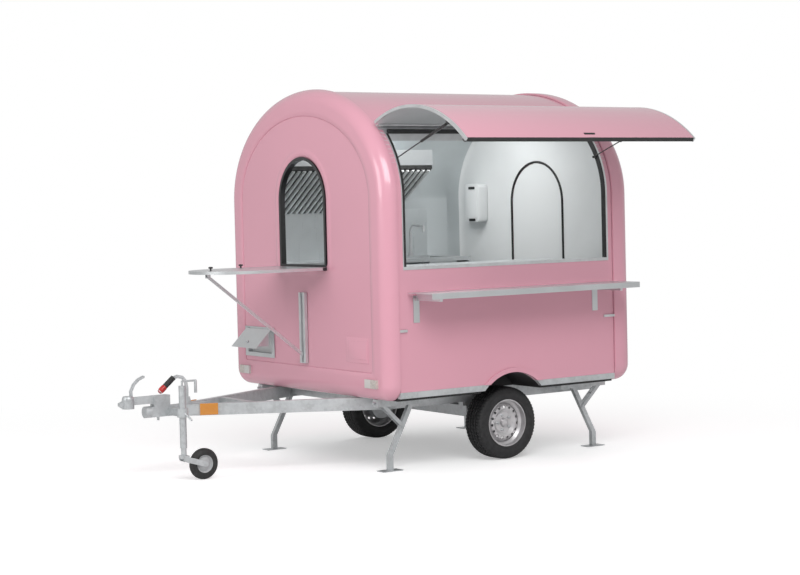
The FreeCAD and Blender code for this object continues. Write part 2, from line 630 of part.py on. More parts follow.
run_x, run_y = drawbar_root[0] - drawbar_nose[0], drawbar_root[1] - drawbar_nose[1]
run_len = math.hypot(run_x, run_y)
run_u = (run_x / run_len, run_y / run_len)


def drawbar_rail():
    """Box-section rail of the V, its nose trimmed flush against the overrun tube."""
    reach = 160
    start = (drawbar_nose[0] - run_u[0] * reach, drawbar_nose[1] - run_u[1] * reach)
    inward = (-run_u[1], run_u[0])
    shift = (inward[0] * drawbar_thick, inward[1] * drawbar_thick)
    climb_start = drawbar_rise * (run_len + reach) / run_len

    def corner(point, climb):
        return [Vector(point[0], point[1], rail_z[0] + climb), Vector(point[0], point[1], rail_z[1] + climb)]

    faces = []
    for point, climb in ((start, climb_start), (drawbar_root, 0)):
        low, high = corner(point, climb)
        low_in, high_in = corner((point[0] + shift[0], point[1] + shift[1]), climb)
        faces.append(Part.makePolygon([low, high, high_in, low_in, low]))
    solid = Part.makeLoft(faces, True, True)
    keep = box((tube_half_width, rail_outer_x), (-far_out, 0), (0, body_bottom))
    return solid.common(keep)


near_rail = drawbar_rail()
half_gap = drawbar_nose[0] + (-1705 - drawbar_nose[1]) * run_x / run_y - drawbar_thick / run_u[1]
gusset = box((-half_gap - 12, half_gap + 12), (-1730, -1680), (rail_z[0] + 30, rail_z[1]))
nodes["drawbar"] = joined([near_rail, mirrored_x(near_rail), gusset]).cut(nodes["chassis_frame"])

# Rubber torsion axle: square beam, trailing arms, stub axles and drums.
half_beam = beam_size / 2
beam_end = rail_outer_x + 3
beam = box((-beam_end, beam_end), (beam_y - half_beam, beam_y + half_beam),
           (beam_z - half_beam, beam_z + half_beam))
seats = [box(sorted((side * (rail_outer_x - rail_width), side * rail_outer_x)),
             (beam_y - 70, beam_y + 70), (beam_z + half_beam, rail_z[0])) for side in (1, -1)]
nodes["axle_beam"] = joined([beam] + seats)

disc_x = 852                # inner face of the wheel's disc
disc_thick = 6
hub_bore = 30


def trailing_arm():
    arm = joined([flat_bar_x([(beam_y, beam_z), (0, tyre_radius)], 64, beam_end, beam_end + 38),
                  rod((beam_end, beam_y, beam_z), (beam_end + 38, beam_y, beam_z), 38)])
    drum = rod((beam_end + 38, 0, tyre_radius), (790, 0, tyre_radius), 100)
    stub = rod((790, 0, tyre_radius), (disc_x - PIN_GAP, 0, tyre_radius), 62)
    spigot = rod((disc_x - PIN_GAP, 0, tyre_radius), (disc_x + 14, 0, tyre_radius), hub_bore - PIN_GAP)
    return joined([arm, drum, stub, spigot])


nodes["axle_arms"] = Part.makeCompound([trailing_arm(), mirrored_x(trailing_arm())])

tyre_in, tyre_out = wheel_mid_x - tyre_width / 2, wheel_mid_x + tyre_width / 2
tread_in, tread_out = tyre_in + 20, tyre_out - 20
wheel_centre = (0, tyre_radius)


def tyre():
    """Tyre with a flat tread, rounded shoulders and bulging walls."""
    def p(x, r):
        return Vector(x, 0, tyre_radius + r)

    seat_in, seat_out = wheel_mid_x - 76, wheel_mid_x + 76
    edges = [
        Part.makeLine(p(seat_in, bead_radius), p(seat_out, bead_radius)),
        Part.Arc(p(seat_out, bead_radius), p(tyre_out - 2, bead_radius + 28),
                 p(tyre_out, bead_radius + 48)).toShape(),
        Part.Arc(p(tyre_out, bead_radius + 48), p(tyre_out - 3, tyre_radius - 18),
                 p(tread_out, tyre_radius - 4)).toShape(),
        Part.Arc(p(tread_out, tyre_radius - 4), p(wheel_mid_x, tyre_radius),
                 p(tread_in, tyre_radius - 4)).toShape(),
        Part.Arc(p(tread_in, tyre_radius - 4), p(tyre_in + 3, tyre_radius - 18),
                 p(tyre_in, bead_radius + 48)).toShape(),
        Part.Arc(p(tyre_in, bead_radius + 48), p(tyre_in + 2, bead_radius + 28),
                 p(seat_in, bead_radius)).toShape()]
    face = Part.Face(Part.Wire(edges))
    return face.revolve(Vector(0, 0, tyre_radius), Vector(1, 0, 0), 360)


def rim():
    """Steel wheel: drop-centre barrel, dished disc with a ring of round holes, hub cap."""
    lip_in, lip_out = wheel_mid_x - 82, wheel_mid_x + 82
    barrel = turned_profile([
        (lip_in, rim_flange_radius), (lip_in + 6, rim_flange_radius), (lip_in + 6, bead_radius),
        (wheel_mid_x - 40, bead_radius), (wheel_mid_x - 25, 148), (wheel_mid_x + 25, 148),
        (wheel_mid_x + 40, bead_radius), (lip_out - 6, bead_radius), (lip_out - 6, rim_flange_radius),
        (lip_out, rim_flange_radius), (lip_out, bead_radius - 6), (wheel_mid_x + 38, bead_radius - 6),
        (wheel_mid_x + 24, 142), (wheel_mid_x - 24, 142), (wheel_mid_x - 38, bead_radius - 6),
        (lip_in, bead_radius - 6)], wheel_centre)
    disc = turned_profile([
        (wheel_mid_x + 10, 143), (wheel_mid_x + 16, 143), (868, 118), (872, 98), (disc_x + disc_thick, 74),
        (disc_x + disc_thick, hub_bore), (disc_x, hub_bore), (disc_x, 76), (866, 96), (862, 114)],
        wheel_centre)
    holes = []
    for k in range(15):
        turn = math.radians(24 * k)
        y, z = 112 * math.sin(turn), tyre_radius + 112 * math.cos(turn)
        holes.append(rod((wheel_mid_x, y, z), (lip_out + 20, y, z), 10))
    cap = turned_profile([(disc_x + disc_thick, hub_bore + 4), (disc_x + 26, hub_bore - 2),
                          (disc_x + 34, 12), (disc_x + 34, 0), (disc_x + 16, 0),
                          (disc_x + 16, hub_bore), (disc_x + disc_thick, hub_bore)], wheel_centre)
    return joined([barrel, disc.cut(Part.makeCompound(holes)), cap])


near_rim = rim()
near_tyre = tyre().cut(near_rim)
nodes["tyre_near"], nodes["rim_near"] = near_tyre, near_rim
nodes["tyre_off"], nodes["rim_off"] = mirrored_x(near_tyre), mirrored_x(near_rim)

# ---- coupling, overrun tube and parking-brake lever ---------------------------------------
tube_mid_z = (tube_z[0] + tube_z[1]) / 2
overrun = box((-tube_half_width, tube_half_width), (tube_y[0] + 40, tube_y[1]), tube_z)
nose = rod((0, tube_y[0], tube_mid_z), (0, tube_y[0] + 45, tube_mid_z), 40)
bellows_stud = rod((0, tube_y[0] + 105, tube_z[0] - 26), (0, tube_y[0] + 105, tube_z[0]), 9)
nodes["overrun_tube"] = joined([overrun, nose, bellows_stud])

neck_z = (530, 582)
rear_block = box((-32, 32), (-2377, -2255), (tube_z[1], neck_z[1]))
neck = box((-22, 22), (ball_y + 20, -2370), neck_z)
pod = rod((0, ball_y, 506), (0, ball_y, 566), 42)
dome = Part.makeSphere(42, Vector(0, ball_y, 566)).common(
    box((-50, 50), (ball_y - 50, ball_y + 50), (565, 592)))
beak = prism_x([(ball_y - 38, 506), (ball_y - 70, 530), (ball_y - 70, 548), (ball_y - 30, 566)], -16, 16)
socket = rod((0, ball_y, 500), (0, ball_y, 536), ball_radius + 0.25)
socket_top = Part.makeSphere(ball_radius + 0.25, Vector(0, ball_y, 536))
grip_path = [(ball_y + 25, 585), (ball_y + 22, 622), (ball_y + 45, 668), (ball_y + 80, 700),
             (ball_y + 118, 716)]
coupling_grip = flat_bar_x(grip_path, 18, -9, 9)
nodes["coupling_head"] = joined([rear_block, neck, pod, dome, beak, coupling_grip]).cut(
    socket).cut(socket_top)

lever_x = (tube_half_width, tube_half_width + 8)
lever_path = [(-2132, 452), (-2128, 620), (-2136, 664), (-2160, 694), (-2200, 704), (-2236, 694)]
lever_bar = flat_bar_x(lever_path, 24, *lever_x)
grip_mid_x = (lever_x[0] + lever_x[1]) / 2
lever_grip = rod((grip_mid_x, -2232, 696), (grip_mid_x, -2338, 606), 17)
quadrant = prism_x([(-2175, 500), (-2095, 500), (-2110, 560), (-2160, 560)], lever_x[1], lever_x[1] + 5)
nodes["brake_lever"] = joined([lever_bar, lever_grip, quadrant]).cut(nodes["drawbar"])

# Side reflectors on the drawbar rails
marker_start = 96
marker_length = 124


def side_marker():
    start = (drawbar_nose[0] + run_u[0] * marker_start, drawbar_nose[1] + run_u[1] * marker_start)
    end = (start[0] + run_u[0] * marker_length, start[1] + run_u[1] * marker_length)
    outward = (run_u[1] * 14, -run_u[0] * 14)
    base = [Vector(*start, rail_z[0] + 17), Vector(*end, rail_z[0] + 17),
            Vector(end[0] + outward[0], end[1] + outward[1], rail_z[0] + 17),
            Vector(start[0] + outward[0], start[1] + outward[1], rail_z[0] + 17)]
    return Part.Face(Part.makePolygon(base + base[:1])).extrude(Vector(0, 0, rail_height - 8))


nodes["side_markers"] = Part.makeCompound([side_marker(), mirrored_x(side_marker())])

# ---- jockey wheel ------------------------------------------------------------------------
post = (jockey_x, jockey_y)
clamp_z = (440, 500)
collar = pipe((*post, clamp_z[0]), (*post, clamp_z[1]), jockey_outer_radius + 14,
              jockey_outer_radius + PIN_GAP)
clamp_arm = box((tube_half_width, jockey_x - jockey_outer_radius - 2), (jockey_y - 24, jockey_y + 24),
                (clamp_z[0] + 4, clamp_z[1] - 4))
tommy_bar = rod((jockey_x + jockey_outer_radius + 8, jockey_y, 470), (jockey_x + 100, jockey_y + 15, 425), 7)
nodes["jockey_clamp"] = joined([collar, clamp_arm.cut(
    rod((*post, clamp_z[0]), (*post, clamp_z[1]), jockey_outer_radius + PIN_GAP)), tommy_bar])

outer_z = (228, 640)
outer_tube = pipe((*post, outer_z[0]), (*post, outer_z[1]), jockey_outer_radius,
                  jockey_inner_radius + PIN_GAP)
cap_top = rod((*post, outer_z[1]), (*post, outer_z[1] + 14), jockey_outer_radius)
crank = joined([rod((*post, outer_z[1]), (*post, outer_z[1] + 48), 7),
                rod((*post, outer_z[1] + 44), (jockey_x, jockey_y + 110, outer_z[1] + 44), 7),
                rod((jockey_x, jockey_y + 104, outer_z[1] + 44),
                    (jockey_x, jockey_y + 104, outer_z[1] - 40), 10)])
nodes["jockey_outer_tube"] = joined([outer_tube, cap_top, crank])

crown_z = (158, 178)
nodes["jockey_inner_tube"] = rod((*post, crown_z[1] + PIN_GAP), (*post, 420), jockey_inner_radius)

hub_y = jockey_y + jockey_trail
fork_half = jockey_wheel_width / 2 + 6
crown = joined([rod((*post, crown_z[0]), (*post, crown_z[1]), 30),
                box((jockey_x - fork_half - 5, jockey_x + fork_half + 5),
                    (jockey_y - 22, jockey_y + 26), crown_z)])
fork_arms = []
for side in (-1, 1):
    arm_x = sorted((jockey_x + side * fork_half, jockey_x + side * (fork_half + 5)))
    fork_arms.append(flat_bar_x([(jockey_y, crown_z[0] - 4), (hub_y, jockey_wheel_radius)], 38, *arm_x))
fork_axle = rod((jockey_x - fork_half - 8, hub_y, jockey_wheel_radius),
                (jockey_x + fork_half + 8, hub_y, jockey_wheel_radius), 8)
fork = joined([crown, fork_axle] + fork_arms)
nodes["jockey_fork"] = fork

jockey_centre = (hub_y, jockey_wheel_radius)
half = jockey_wheel_width / 2
jockey_tyre = turned_profile([
    (jockey_x - half + 2, 62), (jockey_x - half, 80), (jockey_x - half + 6, 98),
    (jockey_x - 8, jockey_wheel_radius),
    (jockey_x + 8, jockey_wheel_radius), (jockey_x + half - 6, 98), (jockey_x + half, 80),
    (jockey_x + half - 2, 62), (jockey_x + half - 8, 56), (jockey_x + 8, 50), (jockey_x + half + 2, 22),
    (jockey_x + half + 2, 8 + PIN_GAP), (jockey_x - half - 2, 8 + PIN_GAP), (jockey_x - half - 2, 22),
    (jockey_x - 8, 50), (jockey_x - half + 8, 56)], jockey_centre)
nodes["jockey_wheel"] = jockey_tyre

# ---- corner steadies -----------------------------------------------------------------------
brace_run = math.sqrt(brace_length ** 2 - steady_drop ** 2)
leg_run = math.sqrt(leg_above_pin ** 2 - steady_drop ** 2)
leg_angle = math.asin(steady_drop / leg_above_pin)
crossing_z = steady_pin_z - steady_drop
leg_below = (crossing_z - foot_pivot_z) / math.sin(leg_angle)
leg_half, bar_thick, base_wall = 16, 4, 4
bar_gap = 1.5
steady_pin_radius = 5
base_inner = leg_half + 2 * bar_gap + bar_thick + 3


def steady(side, end_y, inward):
    """Base channel, brace and leg of one corner: the end face's y and the way inwards (+1 or -1)."""
    x0 = side * steady_x
    pin_y = end_y + inward * steady_pin_inset
    cross_y = pin_y + inward * brace_run
    top_y = cross_y + inward * leg_run
    foot_y = cross_y - inward * leg_below * math.cos(leg_angle)
    base_y = sorted((pin_y - inward * 38, top_y + inward * 130))
    base_out = base_inner + base_wall
    walls = [box((x0 - base_out, x0 - base_inner), base_y, (steady_pin_z - 22, body_bottom)),
             box((x0 + base_inner, x0 + base_out), base_y, (steady_pin_z - 22, body_bottom))]
    roof = box((x0 - base_out, x0 + base_out), base_y, (body_bottom - base_wall, body_bottom))
    cap_y = sorted((pin_y - inward * 38, pin_y - inward * 34))
    end_plate = box((x0 - base_out, x0 + base_out), cap_y, (steady_pin_z - 22, body_bottom))
    spindle = rod((x0, pin_y - inward * 36, steady_pin_z + 6), (x0, pin_y - inward * 62, steady_pin_z + 6), 9)
    base_pin = rod((x0 - base_out, pin_y, steady_pin_z), (x0 + base_out, pin_y, steady_pin_z),
                   steady_pin_radius)
    base = joined(walls + [roof, end_plate, spindle, base_pin])

    bars = []
    for sign in (-1, 1):
        near_face = x0 + sign * (leg_half + bar_gap)
        bar_x = sorted((near_face, near_face + sign * bar_thick))
        bars.append(flat_bar_x([(pin_y, steady_pin_z), (cross_y, crossing_z)], 26, *bar_x))
    tie_y = pin_y + inward * brace_run * 0.45
    tie_z = steady_pin_z - steady_drop * 0.45
    tie = rod((x0 - leg_half - bar_gap - 1, tie_y, tie_z), (x0 + leg_half + bar_gap + 1, tie_y, tie_z), 6)
    brace = joined(bars + [tie])
    for y, z in ((pin_y, steady_pin_z), (cross_y, crossing_z)):
        brace = brace.cut(rod((x0 - 60, y, z), (x0 + 60, y, z), steady_pin_radius + PIN_GAP))

    bar = flat_bar_x([(top_y, steady_pin_z), (foot_y, foot_pivot_z)], 34, x0 - leg_half, x0 + leg_half)
    cross_pin = rod((x0 - leg_half - bar_gap - bar_thick - 2, cross_y, crossing_z),
                    (x0 + leg_half + bar_gap + bar_thick + 2, cross_y, crossing_z), steady_pin_radius)
    ankle = box((x0 - leg_half, x0 + leg_half), (foot_y - 20, foot_y + 20), (4, foot_pivot_z))
    plate = box((x0 - 45, x0 + 45), (foot_y - 82, foot_y + 82), (0, 6))
    leg = joined([bar, cross_pin, ankle, plate])
    return base, brace, leg


corners = (("front_near", 1, front_y, 1), ("front_off", -1, front_y, 1),
           ("rear_near", 1, rear_y, -1), ("rear_off", -1, rear_y, -1))
steady_base_list = []
for name, side, end_y, inward in corners:
    base, brace, leg = steady(side, end_y, inward)
    steady_base_list.append(base)
    nodes["steady_brace_" + name] = brace
    nodes["steady_leg_" + name] = leg
nodes["steady_bases"] = Part.makeCompound(steady_base_list)

# ---- cabin fittings that show through the openings --------------------------------------------
hood_gap = 0.3              # between the hood's back and the cabin wall it is fixed to


def off_wall_x(z):
    """Inner face of the off side at a height, less the hood's gap."""
    inset = panel_step + wall
    lean = max(z - shoulder_z, 0) / (arch_rise - inset)
    return -(body_half_width - inset) * math.sqrt(1 - lean ** 2) + hood_gap


hood_y = (seam_front + 10, 400)
hood_low_z, hood_waist_z, hood_bend_z = 1822, 2000, 2165
hood_lip_x, hood_back_x = -500, off_wall_x(hood_low_z)
hood_lip_z = (2158, 2278)
filter_thick = 25
slope = [(hood_lip_x, hood_lip_z[0]), (hood_back_x, hood_low_z)]
sheet = 3
hood_top_x = off_wall_x(hood_lip_z[1])
hood_shoulder = (off_wall_x(hood_bend_z), hood_bend_z)
hood_back = (off_wall_x(hood_waist_z), hood_waist_z)
hood_profile = [slope[0], (hood_lip_x, hood_lip_z[1]), (hood_top_x, hood_lip_z[1]), hood_shoulder,
                hood_back, slope[1]]
drop = 30                   # the hollow is cut out through the sloping underside
hood_hollow = [(hood_lip_x - sheet, slope[0][1] - drop), (hood_lip_x - sheet, hood_lip_z[1] - sheet),
               (hood_top_x + 1, hood_lip_z[1] - sheet), (hood_shoulder[0] + sheet, hood_shoulder[1]),
               (hood_back[0] + sheet, hood_back[1]), (hood_back_x + sheet, slope[1][1] - drop)]
nodes["exhaust_hood"] = prism_y(hood_profile, *hood_y).cut(
    prism_y(hood_hollow, hood_y[0] + sheet, hood_y[1] - sheet))
pitch = (slope[0][1] - slope[1][1]) / (hood_lip_x - hood_back_x)
filter_x = (hood_lip_x - sheet - 0.5, hood_back_x + sheet + 0.5)
filter_profile = [(x, slope[0][1] + pitch * (x - hood_lip_x) + rise) for x, rise in
                  ((filter_x[0], 0), (filter_x[1], 0), (filter_x[1], -filter_thick),
                   (filter_x[0], -filter_thick))]
nodes["hood_filters"] = prism_y(filter_profile, hood_y[0] + sheet + 0.5, hood_y[1] - sheet - 0.5)

worktop_z = 1425
worktop = 30


def counter(x, y, end_faces):
    """Worktop on upright panels with one lower shelf."""
    pieces = [box(x, y, (worktop_z - worktop, worktop_z))]
    for y0 in end_faces:
        pieces.append(box(x, (y0, y0 + 20), (floor_top, worktop_z - worktop)))
    pieces.append(box(x, (end_faces[0], end_faces[-1] + 20), (760, 780)))
    return joined(pieces)


well_front = arch_centre_y - arch_radius - liner
well_rear = arch_centre_y + arch_radius + liner
far_counter = counter((-inner_x + 4, -455), (seam_front + 5, 720),
                      (seam_front + 5, well_front - 40, well_rear + 20, 700))
sink_x, sink_y = (-900, -540), (300, 640)
sink_hollow = box(sink_x, sink_y, (worktop_z - 170, worktop_z + 1))
sink_wall = box((sink_x[0] - 4, sink_x[1] + 4), (sink_y[0] - 4, sink_y[1] + 4),
                (worktop_z - 174, worktop_z))
nodes["sink_counter"] = joined([far_counter, sink_wall]).cut(sink_hollow)
serving_legs = (-940, well_front - 40, well_rear + 20, 540)
serving_counter = counter((640, inner_x - 6), (-940, 560), serving_legs)
nodes["serving_counter"] = serving_counter.cut(nodes["serving_side_panel"])

tap_x, tap_y = -930, 470
riser = rod((tap_x, tap_y, worktop_z), (tap_x, tap_y, 1640), 11)
spout_bend = rod((tap_x, tap_y, 1635), (tap_x + 40, tap_y, 1685), 11)
spout = rod((tap_x + 38, tap_y, 1683), (tap_x + 190, tap_y, 1668), 10)
outlet = rod((tap_x + 185, tap_y, 1672), (tap_x + 185, tap_y, 1625), 12)
tap_base = rod((tap_x, tap_y, worktop_z), (tap_x, tap_y, worktop_z + 30), 26)
nodes["faucet"] = joined([riser, spout_bend, spout, outlet, tap_base])

nodes["splashback"] = box((-inner_x, -inner_x + 3), (seam_front + 5, 690), (worktop_z, 1815))

# ---- export ------------------------------------------------------------------------------------
whole = Part.makeCompound(list(nodes.values()))
extent = whole.optimalBoundingBox(True)
origin_shift = Vector(-(extent.XMin + extent.XMax) / 2, -(extent.YMin + extent.YMax) / 2, -extent.ZMin)


def main():
    os.makedirs("parts", exist_ok=True)
    print("origin shift", [round(v, 3) for v in origin_shift])
    print("box", round(extent.XLength, 1), round(extent.YLength, 1), round(extent.ZLength, 1))
    for name, shape in nodes.items():
        placed = shape.copy()
        placed.translate(origin_shift)
        placed.exportStep(os.path.join("parts", name + ".step"))
        sound = "" if placed.isValid() else "NOT VALID"
        print(f"{name:26s} solids {len(placed.Solids)} volume {placed.Volume / 1e6:9.3f} {sound}")


main()
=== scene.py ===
import math

import bmesh
import bpy
import numpy as np
from mathutils import Matrix, Vector


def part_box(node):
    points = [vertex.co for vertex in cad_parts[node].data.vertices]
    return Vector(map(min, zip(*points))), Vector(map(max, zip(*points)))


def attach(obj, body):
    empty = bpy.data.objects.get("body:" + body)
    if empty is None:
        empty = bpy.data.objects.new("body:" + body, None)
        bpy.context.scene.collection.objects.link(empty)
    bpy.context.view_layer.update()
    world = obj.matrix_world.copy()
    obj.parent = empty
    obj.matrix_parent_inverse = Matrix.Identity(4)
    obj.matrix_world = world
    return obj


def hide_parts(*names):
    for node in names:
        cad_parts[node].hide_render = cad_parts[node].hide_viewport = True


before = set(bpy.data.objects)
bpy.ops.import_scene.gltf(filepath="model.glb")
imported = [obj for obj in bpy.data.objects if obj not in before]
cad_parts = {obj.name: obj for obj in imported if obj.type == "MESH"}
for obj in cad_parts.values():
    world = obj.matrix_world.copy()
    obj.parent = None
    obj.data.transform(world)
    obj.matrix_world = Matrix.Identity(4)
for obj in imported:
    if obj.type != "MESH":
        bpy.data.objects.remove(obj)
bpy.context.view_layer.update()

# ---- Camera ------------------------------------------------------------------------
# A long lens at a standing person's eye height, off the serving side's front corner.
# Its place is given from the middle of the axle, which the wheels' box finds.
wheel_low, wheel_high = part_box("tyre_near")
off_low, off_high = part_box("tyre_off")
axle_x = (off_low.x + wheel_high.x) / 2
axle_y = (wheel_low.y + wheel_high.y) / 2
azimuth, tilt, roll = (math.radians(angle) for angle in (55.408, -1.889, -1.386))
forward = Vector((-math.sin(azimuth) * math.cos(tilt), math.cos(azimuth) * math.cos(tilt), math.sin(tilt)))
level = forward.cross(Vector((0, 0, 1))).normalized()
upward = level.cross(forward)
right = level * math.cos(roll) + upward * math.sin(roll)
upward = upward * math.cos(roll) - level * math.sin(roll)
camera = bpy.data.objects.new("camera", bpy.data.cameras.new("camera"))
camera.data.sensor_width, camera.data.lens = 36.0, 82.0
camera.data.shift_x, camera.data.shift_y = 0.0021, -0.0294
camera.matrix_world = Matrix.Translation((axle_x + 11.2364, axle_y - 8.0474, 1.8566)) @ Matrix(
    (right, upward, -forward)).transposed().to_4x4()
bpy.context.scene.collection.objects.link(camera)
bpy.context.scene.camera = camera

# ---- Studio ---------------------------------------------------------------------------
# A white room: one wide soft lamp over the serving side, a weaker one ahead of the nose,
# and a white floor that keeps the shadow.  The camera sees the background as white.


class Signal:
    """A shader socket. Arithmetic on it adds Math nodes, and make() adds any other node."""

    def __init__(self, tree, socket=None):
        self.tree, self.socket = tree, socket

    def make(self, kind, settings=None, values=None, output=0):
        node = self.tree.nodes.new(kind)
        for key, value in (settings or {}).items():
            setattr(node, key, value)
        for key, value in (values or {}).items():
            if isinstance(value, Signal):
                self.tree.links.new(value.socket, node.inputs[key])
            else:
                node.inputs[key].default_value = value
        return Signal(self.tree, node.outputs[output])

    def math(self, operation, other=0.0, first=True):
        pair = (self, other) if first else (other, self)
        return self.make("ShaderNodeMath", {"operation": operation}, {0: pair[0], 1: pair[1]})

    def __add__(self, other):
        return self.math("ADD", other)

    def __sub__(self, other):
        return self.math("SUBTRACT", other)

    def __rsub__(self, other):
        return self.math("SUBTRACT", other, first=False)

    def __mul__(self, other):
        return self.math("MULTIPLY", other)

    def __truediv__(self, other):
        return self.math("DIVIDE", other)

    __radd__, __rmul__ = __add__, __mul__

    def ramp(self, low, high):
        """0 below low, 1 above high and smooth between."""
        return self.make("ShaderNodeMapRange", {"interpolation_type": "SMOOTHSTEP"},
                         {0: self, 1: low, 2: high})

    def colours(self, start, end):
        """Mixes two colours, or signals of colour, by this signal."""
        return self.make("ShaderNodeMix", {"data_type": "RGBA"}, {0: self, 6: start, 7: end}, 2)


def tree_of(owner):
    owner.use_nodes = True
    return owner.node_tree


world = bpy.data.worlds.new("studio")
bpy.context.scene.world = world
sky = Signal(tree_of(world))
ray = {name: sky.make("ShaderNodeLightPath", output=name)
       for name in ("Is Camera Ray", "Is Glossy Ray", "Is Transmission Ray")}
seen = ray["Is Camera Ray"].math("MAXIMUM", ray["Is Glossy Ray"] * 0.62).math(
    "MAXIMUM", ray["Is Transmission Ray"])
background = world.node_tree.nodes["Background"]
background.inputs["Color"].default_value = (1, 1, 1, 1)
world.node_tree.links.new((seen.math("MAXIMUM", 0.46)).socket, background.inputs["Strength"])


def lamp(name, place, target, size, power):
    """A square soft lamp that faces the target."""
    light = bpy.data.lights.new(name, "AREA")
    light.shape, light.size, light.size_y, light.energy = "RECTANGLE", size[0], size[1], power
    holder = bpy.data.objects.new(name, light)
    holder.location = place
    holder.rotation_euler = (Vector(target) - Vector(place)).to_track_quat("-Z", "Y").to_euler()
    holder.visible_camera = False
    bpy.context.scene.collection.objects.link(holder)
    return holder


middle = (axle_x, axle_y, 1.4)
lamp("key", (axle_x + 5.5, axle_y - 3.0, 5.2), middle, (4.5, 3.0), 250)
lamp("nose", (axle_x + 0.5, axle_y - 8.0, 3.4), middle, (3.5, 3.0), 125)
lamp("tail", (axle_x - 5.0, axle_y + 6.0, 5.0), middle, (4.0, 3.0), 110).visible_glossy = False
lamp("cabin", (axle_x - 0.1, axle_y + 0.1, 2.50), (axle_x - 0.35, axle_y + 0.4, 1.2), (0.9, 0.9), 17)


def mesh_object(name, points, faces, sharp=35.0):
    """An object from points and faces, its doubles merged and its edges sharp past an angle."""
    mesh = bpy.data.meshes.new(name)
    mesh.from_pydata(np.asarray(points).tolist(), [], faces)
    work = bmesh.new()
    work.from_mesh(mesh)
    bmesh.ops.remove_doubles(work, verts=work.verts, dist=2e-6)
    work.to_mesh(mesh)
    work.free()
    mesh.shade_smooth()
    mesh.set_sharp_from_angle(angle=math.radians(sharp))
    thing = bpy.data.objects.new(name, mesh)
    bpy.context.scene.collection.objects.link(thing)
    return thing


floor_size = 60.0
floor_corners = np.array([(-1, -1), (1, -1), (1, 1), (-1, 1)]) * floor_size / 2
ground = mesh_object("studio_floor", np.column_stack([floor_corners, np.zeros(4)]), [(0, 1, 2, 3)])
ground_finish = bpy.data.materials.new("studio_floor")
ground_tree = tree_of(ground_finish)
ground_tree.nodes["Principled BSDF"].inputs["Base Color"].default_value = (0.93, 0.93, 0.93, 1)
ground_tree.nodes["Principled BSDF"].inputs["Roughness"].default_value = 0.9
ground_start = Signal(ground_tree)
glow = ground_start.make("ShaderNodeEmission", None, {"Strength": 0.35})
both = ground_start.make("ShaderNodeAddShader", None, {
    0: Signal(ground_tree, ground_tree.nodes["Principled BSDF"].outputs[0]), 1: glow})
camera_ray = ground_start.make("ShaderNodeLightPath", output="Is Camera Ray")
spot = ground_start.make("ShaderNodeTexCoord", output="Object")
reach = ground_start.make("ShaderNodeVectorMath", {"operation": "LENGTH"}, {0: spot}, output="Value")
white = ground_start.make("ShaderNodeEmission", None, {"Strength": 1.0})
both = ground_start.make("ShaderNodeMixShader", None, {0: reach.ramp(1.6, 5.5), 1: both, 2: white})
plain = Signal(ground_tree, ground_tree.nodes["Principled BSDF"].outputs[0])
shown = ground_start.make("ShaderNodeMixShader", None, {0: camera_ray, 1: plain, 2: both})
ground_tree.links.new(shown.socket, ground_tree.nodes["Material Output"].inputs["Surface"])
ground.data.materials.append(ground_finish)

# ---- End caps -----------------------------------------------------------------------------
# The front and rear of the body are one-piece glass-fibre mouldings in pink gelcoat: a wide
# rounded rim, a faint step inside it, and a soft roll into the window or door opening.
front_low, front_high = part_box("front_cap")
rear_low, rear_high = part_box("rear_cap")
mid_x = (front_low.x + front_high.x) / 2
body_half = (front_high.x - front_low.x) / 2
body_low, body_top = front_low.z, front_high.z
shoulder = 1.900
eye_z = 1.780                  # every outline of the caps is star-shaped about this height
wall = 0.035
corner_radius, rim_radius = 0.125, 0.100
turns = np.linspace(0, 2 * np.pi, 640, endpoint=False)
PINK = (0.690, 0.335, 0.415, 1)


def finish(name, colour, roughness, metallic=0.0, coat=0.0, mottle=0.04, scale=6.0, bump=0.0,
           bump_scale=300.0, detail=4.0):
    """A lacquer, plastic or metal: its colour and gloss drift slowly, and it may have a fine grain."""
    made = bpy.data.materials.new(name)
    tree = tree_of(made)
    shader = tree.nodes["Principled BSDF"]
    shader.inputs["Metallic"].default_value = metallic
    shader.inputs["Coat Weight"].default_value = coat
    shader.inputs["Coat Roughness"].default_value = 0.06
    start = Signal(tree)
    place = start.make("ShaderNodeTexCoord", output="Object")
    cloud = start.make("ShaderNodeTexNoise", None, {"Vector": place, "Scale": scale, "Detail": detail})
    dark = tuple(channel * (1 - mottle) for channel in colour[:3]) + (1,)
    light = tuple(min(1, channel * (1 + mottle)) for channel in colour[:3]) + (1,)
    tree.links.new(cloud.ramp(0.3, 0.7).colours(dark, light).socket, shader.inputs["Base Color"])
    gloss = cloud * (0.3 * roughness) + 0.85 * roughness
    tree.links.new(gloss.socket, shader.inputs["Roughness"])
    if bump:
        grain = start.make("ShaderNodeTexNoise", None, {"Vector": place, "Scale": bump_scale, "Detail": 3.0})
        relief = start.make("ShaderNodeBump", None, {"Strength": bump, "Distance": 0.001, "Height": grain})
        tree.links.new(relief.socket, shader.inputs["Normal"])
    return made


pink_gelcoat = finish("pink_gelcoat", PINK, 0.24, coat=0.5, mottle=0.02, scale=0.9, bump=0.03, bump_scale=160.0,
                      detail=0.0)
white_gelcoat = finish("white_gelcoat", (0.80, 0.82, 0.82, 1), 0.32, coat=0.2, mottle=0.02, scale=3.0,
                       bump=0.06, bump_scale=40.0)


def star(points):
    """Distance from (mid_x, eye_z) to a closed outline, for each of the turns."""
    x, z = points
    angle = np.arctan2(z - eye_z, x)
    order = np.argsort(angle)
    return np.interp(turns, angle[order], np.hypot(x, z - eye_z)[order], period=2 * np.pi)


def arc(centre, radius, start, end, count=60):
    """Points of an arc (an ellipse if radius is a pair), from one angle to another."""
    angle = np.linspace(start, end, count)
    rx, rz = radius if isinstance(radius, tuple) else (radius, radius)
    return np.array([centre[0] + rx * np.cos(angle), centre[1] + rz * np.sin(angle)])


def run(start, end, count=80):
    """Points of a straight run."""
    return np.linspace(start, end, count).T


